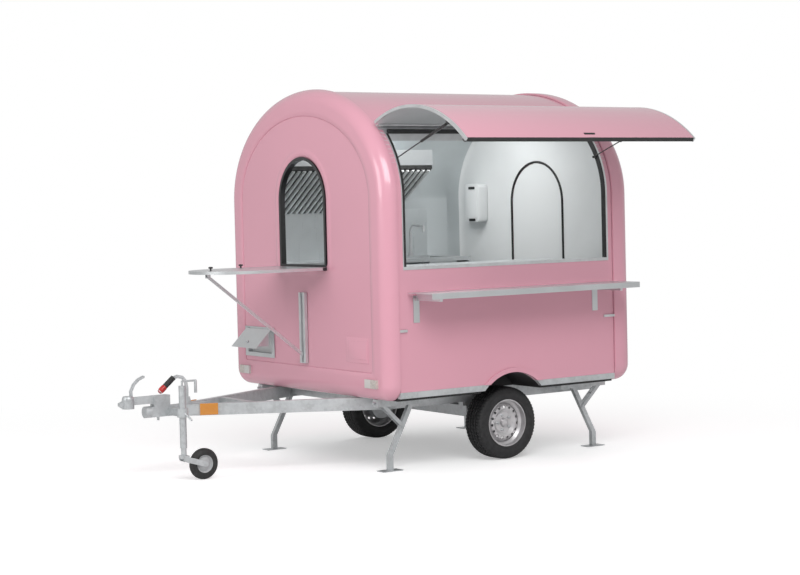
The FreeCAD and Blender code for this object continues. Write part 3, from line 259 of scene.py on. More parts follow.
def body_outline(inset):
    """Elliptical arch on upright sides with rounded bottom corners, moved in by inset."""
    a, low = body_half - inset, body_low + inset
    k = max(corner_radius - inset, 0.02)
    return np.hstack([
        arc((0, shoulder), (a, body_top - shoulder - inset), 0, np.pi, 400),
        run((-a, shoulder), (-a, low + k)), arc((-a + k, low + k), k, np.pi, 1.5 * np.pi),
        run((-a + k, low), (a - k, low)), arc((a - k, low + k), k, 1.5 * np.pi, 2 * np.pi),
        run((a, low + k), (a, shoulder))])


def arched_outline(half, low, spring, out, foot=0.03):
    """Half-round top on upright sides with a flat foot, moved outwards by out."""
    w, z, k = half + out, low - out, foot + max(out, 0)
    return np.hstack([
        arc((0, spring), w, 0, np.pi, 240), run((-w, spring), (-w, z + k)),
        arc((-w + k, z + k), k, np.pi, 1.5 * np.pi), run((-w + k, z), (w - k, z)),
        arc((w - k, z + k), k, 1.5 * np.pi, 2 * np.pi), run((w, z + k), (w, spring))])


def rings(steps):
    """Grid of points from (distances, y) steps: each step is one ring round the body."""
    reach = np.array([step[0] for step in steps])
    y = np.array([np.broadcast_to(step[1], len(turns)) for step in steps])
    return np.stack([mid_x + reach * np.cos(turns), y, eye_z + reach * np.sin(turns)], axis=2)


def grid_faces(rows, columns, wrap=True, flip=False):
    """Four-sided faces between neighbouring points of a grid, closed round its columns if wrapped."""
    i, j = np.meshgrid(np.arange(rows - 1), np.arange(columns if wrap else columns - 1), indexing="ij")
    k = (j + 1) % columns
    quads = np.stack([i * columns + j, i * columns + k, (i + 1) * columns + k, (i + 1) * columns + j], axis=2)
    quads = quads.reshape(-1, 4)
    return quads[:, ::-1] if flip else quads


def add_piece(name, points, faces, material, body, slot, covers=(), sharp=35.0):
    """Makes the object, gives it its finish and says what it rides on and replaces."""
    thing = mesh_object(name, points, [tuple(face) for face in np.asarray(faces, dtype=object)], sharp)
    thing.data.materials.append(material)
    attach(thing, body)
    if covers:
        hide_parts(*covers)
    return thing


ROOT = "body_and_chassis"


def rim_profile(face_y, seam_y):
    """(inset, y) of the cap from its seam over the rounded rim to the step in the face."""
    out = 1 if face_y > seam_y else -1
    swing = np.linspace(0, np.pi / 2, 18)
    edge = [(wall, seam_y), (0.004, seam_y), (0.001, seam_y + out * 0.001), (0, seam_y + out * 0.004)]
    bend = [(rim_radius * (1 - math.cos(t)), face_y - out * rim_radius * (1 - math.sin(t))) for t in swing]
    step = [(0.150, face_y), (0.1885, face_y), (0.1900, face_y - out * 0.0010),
            (0.1915, face_y - out * 0.0065), (0.1935, face_y - out * 0.0070), (0.1960, face_y - out * 0.0045)]
    return edge + bend + step, face_y - out * 0.0045


rim_end = 0.072                # how far in the rim reaches where the door's foot cuts into it


def cap_shell(face_y, seam_y, opening, roll):
    """Rim rings, then a blend across the flat face, then (out, y) rings of the roll round the opening.
    Under the door the face's rings stop at the roll's, because the opening reaches down into the rim."""
    profile, flat_y = rim_profile(face_y, seam_y)
    limit = star(body_outline(rim_end))
    inner = [(np.minimum(star(arched_outline(*opening, out)), limit), y) for out, y in roll]
    last = inner[0][0]
    steps = []
    for inset, y in profile:
        reach = star(body_outline(inset))
        if inset > rim_end:
            reach, y = np.maximum(reach, last), np.where(reach < last, flat_y, y)
        steps.append((reach, y))
    first = steps[-1][0]
    across = [(first + (last - first) * t, flat_y) for t in np.linspace(0, 1, 26)[1:-1]]
    return rings(steps + across + inner)


front_y, rear_y = front_low.y, rear_high.y
window = (0.300, 1.428, 1.895)
door = (0.312, 0.589, 1.844)
front_roll = [(0.078, front_y + 0.0045), (0.070, front_y + 0.0030), (0.062, front_y + 0.0005),
              (0.050, front_y), (0.034, front_y + 0.0010), (0.022, front_y + 0.0045),
              (0.012, front_y + 0.0110), (0.006, front_y + 0.0190), (0.004, front_y + wall)]
rear_roll = [(0.060, rear_y - 0.0045), (0.052, rear_y - 0.0020), (0.044, rear_y), (0.010, rear_y),
             (0.003, rear_y - 0.0030), (0.0, rear_y - 0.0090), (0.0, rear_y - wall)]
front_points = cap_shell(front_y, front_high.y, window, front_roll)
faces = grid_faces(*front_points.shape[:2], flip=True)
inlet_low, inlet_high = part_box("inlet_box")
centres = front_points.reshape(-1, 3)[faces].mean(axis=1)
margin = 0.030                 # the inlet's flange covers the edge of the hole left for its tray
in_hole = ((centres[:, 0] > inlet_low.x + margin) & (centres[:, 0] < inlet_high.x - margin)
           & (centres[:, 2] > inlet_low.z + 0.018) & (centres[:, 2] < inlet_high.z - 0.018))
add_piece("front_cap_skin", front_points.reshape(-1, 3), faces[~in_hole], pink_gelcoat, ROOT, "pink_shell",
          ("front_cap",))
rear_points = cap_shell(rear_y, rear_low.y, door, rear_roll)
add_piece("rear_cap_skin", rear_points.reshape(-1, 3), grid_faces(*rear_points.shape[:2]), pink_gelcoat,
          ROOT, "pink_shell", ("rear_cap",))


def lining(face_y, seam_y, opening, gap):
    """Inside of a cap: from the seam round the hollow edge and over to the opening."""
    out = 1 if face_y > seam_y else -1
    deep, radius = face_y - out * wall, rim_radius - wall
    bend = [(wall + radius * (1 - math.cos(t)), deep - out * radius * (1 - math.sin(t)))
            for t in np.linspace(0, np.pi / 2, 14)]
    last = star(arched_outline(*opening, gap))
    steps = [(np.maximum(star(body_outline(inset)), last), y) for inset, y in [(wall, seam_y)] + bend]
    steps += [(steps[-1][0] + (last - steps[-1][0]) * t, deep) for t in np.linspace(0, 1, 12)[1:]]
    return rings(steps)


for name, face_y, seam_y, opening in (("front_cap_lining", front_y, front_high.y, window),
                                      ("rear_cap_lining", rear_y, rear_low.y, door)):
    points = lining(face_y, seam_y, opening, 0.004)
    add_piece(name, points.reshape(-1, 3), grid_faces(*points.shape[:2], flip=face_y > seam_y), white_gelcoat,
              ROOT, "white_panel")

# ---- Roof and side panels -------------------------------------------------------------------
# Flat sandwich panels bent over the arch and bonded into the caps.  The outside is the same
# pink gelcoat, and the cabin side is a pale satin metal sheet.
lining_sheet = finish("lining_sheet", (0.58, 0.62, 0.63, 1), 0.30, metallic=0.35, mottle=0.05, scale=2.5)
roof_low, roof_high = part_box("roof_panel")
panel_step = 0.015


def arch_band(inset, y0, y1, start, end):
    """Grid over the arch at one inset, between two angles of its ellipse and two ends."""
    angle = np.linspace(start, end, 90)[:, None]
    y = np.linspace(y0, y1, 2)[None, :]
    x = mid_x + (body_half - inset) * np.cos(angle) + 0 * y
    z = shoulder + (body_top - shoulder - inset) * np.sin(angle) + 0 * y
    return np.stack([x, y + 0 * angle, z], axis=2)


roof_start = math.acos((roof_high.x - mid_x) / (body_half - panel_step))
for name, inset, material, slot, covers in (
        ("roof_skin", panel_step, pink_gelcoat, "pink_shell", ("roof_panel",)),
        ("roof_lining", panel_step + wall, lining_sheet, "white_panel", ())):
    band = arch_band(inset, roof_low.y, roof_high.y, roof_start, math.pi)
    add_piece(name, band.reshape(-1, 3), grid_faces(90, 2, wrap=False, flip=inset == panel_step), material,
              ROOT, slot, covers)

# Beside the serving opening the roof's skin runs down the two posts to the side panel.
frame_low, frame_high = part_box("serving_frame")
post_overlap = 0.004
for name, start_y, end_y in (("front_post_skin", roof_low.y, frame_low.y + post_overlap),
                             ("rear_post_skin", frame_high.y - post_overlap, roof_high.y)):
    band = arch_band(panel_step, start_y, end_y, 0, roof_start)
    add_piece(name, band.reshape(-1, 3), grid_faces(90, 2, wrap=False, flip=True), pink_gelcoat, ROOT, "pink_shell")

# Inside, the same sheet runs on over the caps' hollow edges to the end walls.
for name, start_y, end_y in (("front_cabin_band", front_y + wall + 0.001, front_high.y + 0.002),
                             ("rear_cabin_band", rear_low.y - 0.002, rear_y - wall - 0.001)):
    reach = star(body_outline(panel_step + wall + 0.001))
    band = rings([(reach, start_y), (reach, end_y)])
    add_piece(name, band.reshape(-1, 3), grid_faces(2, len(turns)), lining_sheet, ROOT, "white_panel")


def two_sided(name, outside, inside, axis, edge, width=0.002):
    """A material that changes from one colour to the other across a plane of the object."""
    made = finish(name, outside, 0.24, coat=0.5, mottle=0.02, scale=0.9, bump=0.03, bump_scale=160.0, detail=0.0)
    tree = made.node_tree
    start = Signal(tree)
    place = start.make("ShaderNodeTexCoord", output="Object")
    along = start.make("ShaderNodeSeparateXYZ", None, {0: place}, output=axis)
    painted = Signal(tree, tree.nodes["Principled BSDF"].inputs["Base Color"].links[0].from_socket)
    mixed = along.ramp(edge - width, edge + width).colours(inside, painted)
    tree.links.new(mixed.socket, tree.nodes["Principled BSDF"].inputs["Base Color"])
    return made


def dress(material, *names):
    """Gives CAD nodes their finish."""
    for name in names:
        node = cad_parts[name]
        node.data.materials.clear()
        node.data.materials.append(material)


side_low, side_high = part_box("serving_side_panel")
INSIDE = (0.60, 0.64, 0.65, 1)
serving_side = two_sided("serving_side", PINK, INSIDE, "X", mid_x + body_half - panel_step - wall + 0.004)
off_side = two_sided("off_side", INSIDE, PINK, "X", mid_x - body_half + panel_step + wall - 0.004)
door_paint = two_sided("door_paint", PINK, (0.80, 0.82, 0.82, 1), "Y", rear_y - wall + 0.003)
dress(serving_side, "serving_side_panel")
dress(off_side, "off_side_panel")
dress(door_paint, "rear_door")

# ---- Metal, rubber and plastic of the running gear ---------------------------------------------
# Drawbar, frame, axle and steadies are hot-dip galvanised, with the zinc's pale spangle.
# The interior is brushed stainless sheet, and the small parts are black rubber and plastic.


def galvanised(name, base, tone):
    """Zinc: cells a few millimetres to centimetres wide, each a slightly different grey."""
    made = finish(name, base, 0.42, metallic=0.55, mottle=tone, scale=9.0, bump=0.25, bump_scale=60.0)
    tree = made.node_tree
    start = Signal(tree)
    place = start.make("ShaderNodeTexCoord", output="Object")
    cells = start.make("ShaderNodeTexVoronoi", None, {"Vector": place, "Scale": 55.0}, output="Color")
    shade = start.make("ShaderNodeSeparateColor", None, {0: cells})
    painted = Signal(tree, tree.nodes["Principled BSDF"].inputs["Base Color"].links[0].from_socket)
    bright = tuple(min(1, channel * 1.28) for channel in base[:3]) + (1,)
    tree.links.new((shade * 0.45).colours(painted, bright).socket, tree.nodes["Principled BSDF"].inputs["Base Color"])
    return made


def brushed(name, base, stretch):
    """Stainless sheet: long fine scratches, made by a noise squeezed along one direction."""
    made = finish(name, base, 0.30, metallic=0.85, mottle=0.05, scale=3.0)
    tree = made.node_tree
    start = Signal(tree)
    place = start.make("ShaderNodeTexCoord", output="Object")
    lines = start.make("ShaderNodeMapping", None, {"Vector": place, "Scale": stretch})
    grain = start.make("ShaderNodeTexNoise", None, {"Vector": lines, "Scale": 1.0, "Detail": 3.0})
    relief = start.make("ShaderNodeBump", None, {"Strength": 0.12, "Distance": 0.0008, "Height": grain})
    tree.links.new(relief.socket, tree.nodes["Principled BSDF"].inputs["Normal"])
    tree.links.new((grain * 0.25 + 0.2).socket, tree.nodes["Principled BSDF"].inputs["Roughness"])
    return made


zinc = galvanised("zinc", (0.50, 0.52, 0.53, 1), 0.12)
stainless_y = brushed("stainless_along", (0.66, 0.68, 0.69, 1), (350, 3, 350))
stainless_z = brushed("stainless_upright", (0.60, 0.63, 0.64, 1), (350, 350, 3))
# Near-black metal for the grease filters' panel behind the bright channels. It is painted shade in the gaps between
# them.
baffle_gap_shade = finish("baffle_gap_shade", (0.05, 0.05, 0.05, 1), 0.4, metallic=0.5, mottle=0.3, scale=20.0)
aluminium = finish("aluminium", (0.66, 0.67, 0.68, 1), 0.30, metallic=0.7, mottle=0.06, scale=12.0, bump=0.08)
black_rubber = finish("black_rubber", (0.016, 0.016, 0.017, 1), 0.55, mottle=0.3, scale=30.0, bump=0.2)
black_plastic = finish("black_plastic", (0.013, 0.013, 0.014, 1), 0.34, coat=0.2, mottle=0.2, scale=20.0, bump=0.1)
red_plastic = finish("red_plastic", (0.45, 0.012, 0.012, 1), 0.35, coat=0.2, mottle=0.1, scale=30.0)
underside = finish("underside", (0.018, 0.018, 0.019, 1), 0.6, mottle=0.3, scale=9.0, bump=0.3, bump_scale=80.0)
silver = finish("wheel_silver", (0.58, 0.57, 0.58, 1), 0.30, metallic=0.6, coat=0.3, mottle=0.08, scale=14.0, bump=0.06)
dress(zinc, "chassis_frame", "drawbar", "axle_beam", "axle_arms", "coupling_head", "brake_lever", "jockey_clamp",
      "overrun_tube", "jockey_outer_tube", "jockey_inner_tube", "jockey_fork", "steady_bases", "skirt_trims")
dress(zinc, *[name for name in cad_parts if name.startswith(("steady_brace", "steady_leg"))])
dress(stainless_y, "serving_counter", "sink_counter", "exhaust_hood", "serving_shelf", "counter_flap", "flap_stay",
      "wall_brackets", "inlet_box", "inlet_lid")
dress(stainless_z, "splashback")
dress(aluminium, "faucet", "serving_frame", "hatch_hinge_rail", "stay_track")
# The filters' panel is painted near black as the shade between the baffle channels.
dress(baffle_gap_shade, "hood_filters")
dress(black_plastic, "strut_cylinder_front", "strut_cylinder_rear", "strut_rod_front", "strut_rod_rear")
dress(black_plastic, "front_window_frame")
dress(underside, "floor", "wheel_wells")

# ---- Hatch --------------------------------------------------------------------------------------
# The serving hatch is a bent sandwich panel on gas struts: pink outside, pale inside, with bright
# trims on its curved ends, a black seal along its lower edge and black caps on its corners.
hatch_low, hatch_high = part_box("hatch_panel")
hatch_radius, hatch_thick = 0.950, 0.020
hatch_centre = (axle_x + 1.2593, 1.5675)
root_angle = math.acos((0.857 - 1.2593) / hatch_radius)
edge_angle = math.acos((hatch_high.x - hatch_centre[0]) / hatch_radius)


def swept(loops, close_ends=True):
    """A closed bar from a row of equal loops of points, its ends closed."""
    count, sides = loops.shape[:2]
    faces = [tuple(face) for face in grid_faces(count, sides)]
    if close_ends:
        faces += [tuple(range(sides))[::-1], tuple(range((count - 1) * sides, count * sides))]
    return loops.reshape(-1, 3), faces


def outward(thing):
    """Turns the faces of a closed piece to point outwards."""
    work = bmesh.new()
    work.from_mesh(thing.data)
    bmesh.ops.recalc_face_normals(work, faces=work.faces)
    work.to_mesh(thing.data)
    work.free()
    return thing


def several(*shapes):
    """Joins (points, faces) shapes into one."""
    points, faces, base = [], [], 0
    for shape_points, shape_faces in shapes:
        points.append(np.asarray(shape_points, float))
        faces += [tuple(index + base for index in face) for face in shape_faces]
        base += len(shape_points)
    return np.vstack(points), faces


def hatch_bar(inner, outer, y0, y1, start=root_angle, end=edge_angle, count=70):
    """Curved slab: the section's four corners carried round the hatch's arc."""
    angle = np.linspace(start, end, count)[:, None]
    radius = np.array([inner, outer, outer, inner])[None, :]
    y = np.array([y0, y0, y1, y1])[None, :] + 0 * angle
    loops = np.stack([hatch_centre[0] + radius * np.cos(angle), y, hatch_centre[1] + radius * np.sin(angle)], axis=2)
    return swept(loops)


pale_panel = finish("pale_panel", (0.60, 0.62, 0.63, 1), 0.33, metallic=0.2, mottle=0.04, scale=4.0)
end_trim = 0.014
skin_depth = 0.006
edge_strip = 0.008 / hatch_radius
outward(add_piece("hatch_skin", *hatch_bar(hatch_radius - skin_depth, hatch_radius - 0.0005,
                                           hatch_low.y + end_trim, hatch_high.y - end_trim,
                                           end=edge_angle + edge_strip),
                  pink_gelcoat, "hatch", "pink_shell", ("hatch_panel",)))
outward(add_piece("hatch_inner", *hatch_bar(hatch_radius - hatch_thick, hatch_radius - skin_depth - 0.0003,
                                            hatch_low.y + end_trim, hatch_high.y - end_trim,
                                            end=edge_angle + edge_strip),
                  pale_panel, "hatch", "white_panel"))
trims = several(
    hatch_bar(hatch_radius - hatch_thick - 0.001, hatch_radius, hatch_low.y, hatch_low.y + end_trim),
    hatch_bar(hatch_radius - hatch_thick - 0.001, hatch_radius, hatch_high.y - end_trim, hatch_high.y))
outward(add_piece("hatch_end_trims", *trims, aluminium, "hatch", "silver_frame"))


def tube(path, radius, sides=14):
    """Round bar: circles square to a path of points, with the path's own frame carried along it."""
    path = np.asarray(path, float)
    ahead = np.gradient(path, axis=0)
    ahead /= np.linalg.norm(ahead, axis=1)[:, None]
    guide = np.eye(3)[np.argmin(np.abs(ahead).max(axis=0))]
    side = np.cross(ahead, guide)
    side /= np.linalg.norm(side, axis=1)[:, None]
    other = np.cross(ahead, side)
    turn = np.linspace(0, 2 * np.pi, sides, endpoint=False)[None, :, None]
    size = np.broadcast_to(np.asarray(radius, float), len(path))[:, None, None]
    return swept(path[:, None] + size * (np.cos(turn) * side[:, None] + np.sin(turn) * other[:, None]))


seal_angle = edge_angle + 0.010 / hatch_radius
seal_at = (hatch_centre[0] + (hatch_radius - 0.024) * math.cos(seal_angle),
           hatch_centre[1] + (hatch_radius - 0.024) * math.sin(seal_angle))
seal_line = [(seal_at[0], y, seal_at[1]) for y in np.linspace(hatch_low.y + 0.03, hatch_high.y - 0.03, 20)]
corner_caps = [hatch_bar(hatch_radius - hatch_thick - 0.012, hatch_radius - 0.001, y, y + 0.016,
                         edge_angle + 0.028, edge_angle + 0.001, 6)
               for y in (hatch_low.y + 0.0005, hatch_high.y - 0.0165)]
lock_turn = edge_angle + 0.05
lock = [(hatch_centre[0] + (hatch_radius - 0.003) * math.cos(lock_turn), axle_y + s * 0.045,
         hatch_centre[1] + (hatch_radius - 0.003) * math.sin(lock_turn)) for s in np.linspace(-1, 1, 9)]
edge_rubber = hatch_bar(hatch_radius - 0.030, hatch_radius - 0.0005, hatch_low.y + 0.017, hatch_high.y - 0.017,
                        edge_angle + edge_strip - 0.0002, edge_angle, 3)
outward(add_piece("hatch_seal", *several(tube(seal_line, 0.008), tube(lock, 0.009), edge_rubber, *corner_caps),
                  black_rubber, "hatch", "black_rubber"))
hinge_at = (axle_x + 0.845, 2.402)
rail_low, rail_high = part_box("hatch_hinge_rail")
leaf_end = (hatch_centre[0] + (hatch_radius - 0.01) * math.cos(root_angle),
            hatch_centre[1] + (hatch_radius - 0.01) * math.sin(root_angle))
along = np.array([leaf_end[0] - hinge_at[0], leaf_end[1] - hinge_at[1]])
along /= np.linalg.norm(along)
square = np.array([-along[1], along[0]]) * 0.003
leaf_corners = np.array([np.add(hinge_at, along * 0.006) + square, np.add(leaf_end, along * 0.004) + square,
                         np.add(leaf_end, along * 0.004) - square, np.add(hinge_at, along * 0.006) - square])
sleeve_turn = np.radians(np.linspace(-40, 200, 26))
curl = np.hstack([[hinge_at[0] + 0.008 * np.cos(sleeve_turn), hinge_at[1] + 0.008 * np.sin(sleeve_turn)],
                  [hinge_at[0] + 0.0043 * np.cos(sleeve_turn[::-1]), hinge_at[1] + 0.0043 * np.sin(sleeve_turn[::-1])]]).T


def carried(section, y0, y1):
    """A section in the X-Z plane carried along Y."""
    loops = np.array([[(x, y, z) for x, z in section] for y in (y0, y1)])
    return swept(loops)


outward(add_piece("hatch_hinge_leaf", *several(carried(leaf_corners, rail_low.y + 0.001, rail_high.y - 0.001),
                                               carried(curl, rail_low.y + 0.001, rail_high.y - 0.001)),
                  aluminium, "hatch", "silver_frame"))
strut_head = (axle_x + 1.557, 2.383)
skin_above = hatch_centre[1] + math.sqrt((hatch_radius - hatch_thick) ** 2 - (strut_head[0] - hatch_centre[0]) ** 2)
brackets = []
for name, away in (("strut_cylinder_front", -1), ("strut_cylinder_rear", 1)):
    eye_low, eye_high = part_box(name)
    mid_y = (eye_low.y + eye_high.y) / 2
    outline = [(strut_head[0] - 0.012, strut_head[1] - 0.010), (strut_head[0] + 0.012, strut_head[1] - 0.010),
               (strut_head[0] + 0.030, skin_above - 0.004), (strut_head[0] - 0.030, skin_above + 0.005)]
    brackets.append(carried(outline, *sorted((mid_y + away * 0.008, mid_y + away * 0.012))))
    brackets.append(tube([(strut_head[0], mid_y + away * s, strut_head[1]) for s in (0.011, 0.0, -0.006)], 0.004))
outward(add_piece("hatch_strut_brackets", *several(*brackets), black_plastic, "hatch", "black_paint"))

# ---- Wheels ------------------------------------------------------------------------------------------
# 13-inch road tyres with four grooves and cut shoulders, on silver steel wheels with a ring of
# round holes, five bolts and a plain cap.
tyre_finish = finish("tyre_rubber", (0.017, 0.017, 0.018, 1), 0.62, mottle=0.35, scale=35.0, bump=0.3)


def lathe(profile, centre, sides=160, depth=None):
    """(x, radius) profile turned about an X axis; depth(angle, x) is taken off the radius."""
    x, r = np.asarray(profile, float).T
    turn = np.linspace(0, 2 * np.pi, sides, endpoint=False)[None, :]
    radius = r[:, None] - (depth(turn, x[:, None], r[:, None]) if depth else 0)
    y, z = centre[0] + radius * np.cos(turn), centre[1] + radius * np.sin(turn)
    return np.stack([x[:, None] + 0 * turn, y, z], axis=2).reshape(-1, 3), grid_faces(len(x), sides)


def tyre_profile(middle_x, half, radius):
    """Bead, bulging wall with two fine ribs, rounded shoulder and a tread with four grooves."""
    wall_side = [(0.076, 0.168), (0.086, 0.170), (0.091, 0.178), (0.0935, 0.184), (0.0930, 0.187), (0.0950, 0.190),
                 (half, 0.205), (half, 0.218), (0.0955, 0.226), (0.0940, 0.227), (0.0935, 0.231),
                 (0.0905, 0.242), (0.0860, 0.2495), (0.0790, 0.2555), (0.0740, radius - 0.0045)]
    tread = [(0.0690, radius - 0.0035)]
    for groove in (0.046, 0.016):
        tread += [(groove + 0.0050, radius - 0.0015), (groove + 0.0045, radius - 0.009),
                  (groove - 0.0045, radius - 0.009), (groove - 0.0050, radius - 0.0010)]
    half_profile = wall_side + tread
    return [(middle_x - x, r) for x, r in half_profile] + [(middle_x + x, r) for x, r in half_profile[::-1]]


def tread_cuts(turn, x, r):
    """Cross cuts: every third step of the tread's shoulders lies a little lower."""
    cut = (np.floor(turn / (2 * np.pi) * 64 * 3 + 0.01) % 3 == 0) & (r > 0.246)
    return cut * 0.0045


def wheel_bolts(face_x, centre, out):
    """Five hexagon bolts with a domed middle, on a 56 mm radius."""
    shapes = []
    for k in range(5):
        turn = 2 * np.pi * (k + 0.5) / 5
        spot = (centre[0] + 0.056 * math.cos(turn), centre[1] + 0.056 * math.sin(turn))
        head = [(face_x, 0.0001), (face_x, 0.0105), (face_x + out * 0.010, 0.0105), (face_x + out * 0.012, 0.008),
                (face_x + out * 0.014, 0.0001)]
        shapes.append(lathe(head, spot, sides=6))
    return several(*shapes)


for side, out in (("near", 1), ("off", -1)):
    low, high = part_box("tyre_" + side)
    centre = ((low.y + high.y) / 2, (low.z + high.z) / 2)
    middle_x = (low.x + high.x) / 2
    tyre = lathe(tyre_profile(middle_x, 0.0975, (high.z - low.z) / 2), centre, 384, tread_cuts)
    outward(add_piece("tyre_tread_" + side, *tyre, tyre_finish, "wheel_" + side, "tyre_rubber", ("tyre_" + side,)))
    bolts = wheel_bolts(middle_x + out * 0.0385, centre, out)
    outward(add_piece("wheel_bolts_" + side, *bolts, zinc, "wheel_" + side, "zinc_steel"))
dress(silver, "rim_near", "rim_off")


def hub_rubber():
    """Jockey wheel: a pale disc inside a black tyre, parted by distance from the axle."""
    made = finish("jockey_rubber", (0.02, 0.02, 0.02, 1), 0.5, mottle=0.3, scale=40.0, bump=0.15)
    tree = made.node_tree
    low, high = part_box("jockey_wheel")
    start = Signal(tree)
    place = start.make("ShaderNodeTexCoord", output="Object")
    spot = start.make("ShaderNodeVectorMath", {"operation": "SUBTRACT"},
                      {0: place, 1: (0, (low.y + high.y) / 2, (low.z + high.z) / 2)})
    flat = start.make("ShaderNodeVectorMath", {"operation": "MULTIPLY"}, {0: spot, 1: (0, 1, 1)})
    reach = start.make("ShaderNodeVectorMath", {"operation": "LENGTH"}, {0: flat}, output="Value")
    painted = Signal(tree, tree.nodes["Principled BSDF"].inputs["Base Color"].links[0].from_socket)
    mixed = reach.ramp(0.060, 0.062).colours((0.45, 0.46, 0.47, 1), painted)
    tree.links.new(mixed.socket, tree.nodes["Principled BSDF"].inputs["Base Color"])
    return made


dress(hub_rubber(), "jockey_wheel")

# ---- Lamps -------------------------------------------------------------------------------------------
# Moulded lenses: clear and amber halves in front, red behind, amber reflectors on the drawbar.


def lens(name, inner_colour, outer_colour, edge):
    """Lens moulding: fine ribs under a clear coat, and two colours that meet at a distance from the middle."""
    made = finish(name, outer_colour, 0.15, coat=0.8, mottle=0.12, scale=60.0)
    tree = made.node_tree
    start = Signal(tree)
    place = start.make("ShaderNodeTexCoord", output="Object")
    across = start.make("ShaderNodeSeparateXYZ", None, {0: place}, output="X")
    reach = (across - mid_x).math("ABSOLUTE")
    painted = Signal(tree, tree.nodes["Principled BSDF"].inputs["Base Color"].links[0].from_socket)
    mixed = reach.ramp(edge - 0.001, edge + 0.001).colours(inner_colour, painted)
    tree.links.new(mixed.socket, tree.nodes["Principled BSDF"].inputs["Base Color"])
    ribs = start.make("ShaderNodeTexWave", None, {"Vector": place, "Scale": 90.0})
    relief = start.make("ShaderNodeBump", None, {"Strength": 0.4, "Distance": 0.001, "Height": ribs})
    tree.links.new(relief.socket, tree.nodes["Principled BSDF"].inputs["Normal"])
    return made


CLEAR, AMBER, RED = (0.62, 0.60, 0.58, 1), (0.62, 0.23, 0.008, 1), (0.42, 0.012, 0.012, 1)
dress(lens("front_lens", CLEAR, (0.55, 0.50, 0.46, 1), 0.865), "front_lamps")
dress(lens("rear_lens", RED, AMBER, 0.880), "rear_lamps")
dress(lens("amber_lens", AMBER, AMBER, 0.5), "side_markers")

# ---- Seals and small fittings ---------------------------------------------------------------------------
# Black rubber lines the serving opening and the rear door, and small bright catches, black knobs and
# the pale electric box are screwed on.
side_face = 0.022
seal_inset = 0.0105            # 1.5 mm proud of the frame
seal_end = 0.0255              # the gas struts pass just beyond the seals


def edge_seal(y0, y1):
    """Rubber strip that follows the side of the opening, just inside the frame."""
    angle = np.linspace(0, math.acos((hinge_at[0] + 0.02 - mid_x) / (body_half - seal_inset)), 50)
    x = np.concatenate([[body_half - seal_inset], (body_half - seal_inset) * np.cos(angle)])
    z = np.concatenate([[frame_low.z + side_face],
                        shoulder + (body_top - shoulder - seal_inset) * np.sin(angle)])
    inner_x = np.concatenate([[body_half - 0.05], (body_half - 0.05) * np.cos(angle)])
    inner_z = np.concatenate([[z[0]], shoulder + (body_top - shoulder - 0.05) * np.sin(angle)])
    outer = np.stack([mid_x + x, z], axis=1)
    inner = np.stack([mid_x + inner_x, inner_z], axis=1)
    loops = np.stack([np.insert(outer, 1, y0, axis=1), np.insert(outer, 1, y1, axis=1),
                      np.insert(inner, 1, y1, axis=1), np.insert(inner, 1, y0, axis=1)], axis=1)
    return swept(loops)


header_x = frame_low.x + side_face
header = [(header_x + dx, 2.352 + dz) for dx, dz in ((0, 0.022), (0.014, 0.014), (0.014, -0.010), (0, -0.010))]
opening_seals = several(edge_seal(frame_low.y + 0.008, frame_low.y + seal_end),
                        edge_seal(frame_high.y - seal_end, frame_high.y - 0.0175),
                        carried(header, frame_low.y + side_face, frame_high.y - side_face))
outward(add_piece("opening_seals", *opening_seals, black_rubber, ROOT, "black_rubber"))
door_ring = arched_outline(*door, 0.004)
door_reach = star(door_ring)
door_line = np.stack([mid_x + door_reach * np.cos(turns), np.full(len(turns), rear_y - wall - 0.004),
                      eye_z + door_reach * np.sin(turns)], axis=1)


def closed_tube(path, radius, sides=10):
    """Round bar along a closed line that lies in one X-Z plane."""
    ahead = np.roll(path, -1, axis=0) - np.roll(path, 1, axis=0)
    ahead /= np.linalg.norm(ahead, axis=1)[:, None]
    depth = np.broadcast_to(np.array([0.0, 1.0, 0.0]), ahead.shape)
    side = np.cross(ahead, depth)
    turn = np.linspace(0, 2 * np.pi, sides, endpoint=False)[None, :, None]
    loops = path[:, None] + radius * (np.cos(turn) * side[:, None] + np.sin(turn) * depth[:, None])
    loops = np.concatenate([loops, loops[:1]])
    return swept(loops, close_ends=False)


outward(add_piece("door_seal", *closed_tube(door_line, 0.009), black_rubber, ROOT, "black_rubber"))


def rounded_block(low, high, radius, squareness=0.25):
    """Block with rounded corners: a superellipse section across X and Z, its ends drawn in."""
    low, high = np.asarray(low, float), np.asarray(high, float)
    middle, half = (low + high) / 2, (high - low) / 2
    turn = np.linspace(0, 2 * np.pi, 48, endpoint=False) + np.pi / 48
    shape = np.stack([np.sign(np.cos(turn)) * np.abs(np.cos(turn)) ** squareness,
                      np.sign(np.sin(turn)) * np.abs(np.sin(turn)) ** squareness], axis=1)
    shape /= np.abs(shape).max()
    steps = [(-half[1], radius), (-half[1] + radius * 0.3, radius * 0.3), (-half[1] + radius, 0),
             (half[1] - radius, 0), (half[1] - radius * 0.3, radius * 0.3), (half[1], radius)]
    loops = [np.stack([middle[0] + shape[:, 0] * (half[0] - drawn), np.full(48, middle[1] + y),
                       middle[2] + shape[:, 1] * (half[2] - drawn)], axis=1) for y, drawn in steps]
    return swept(np.array(loops))


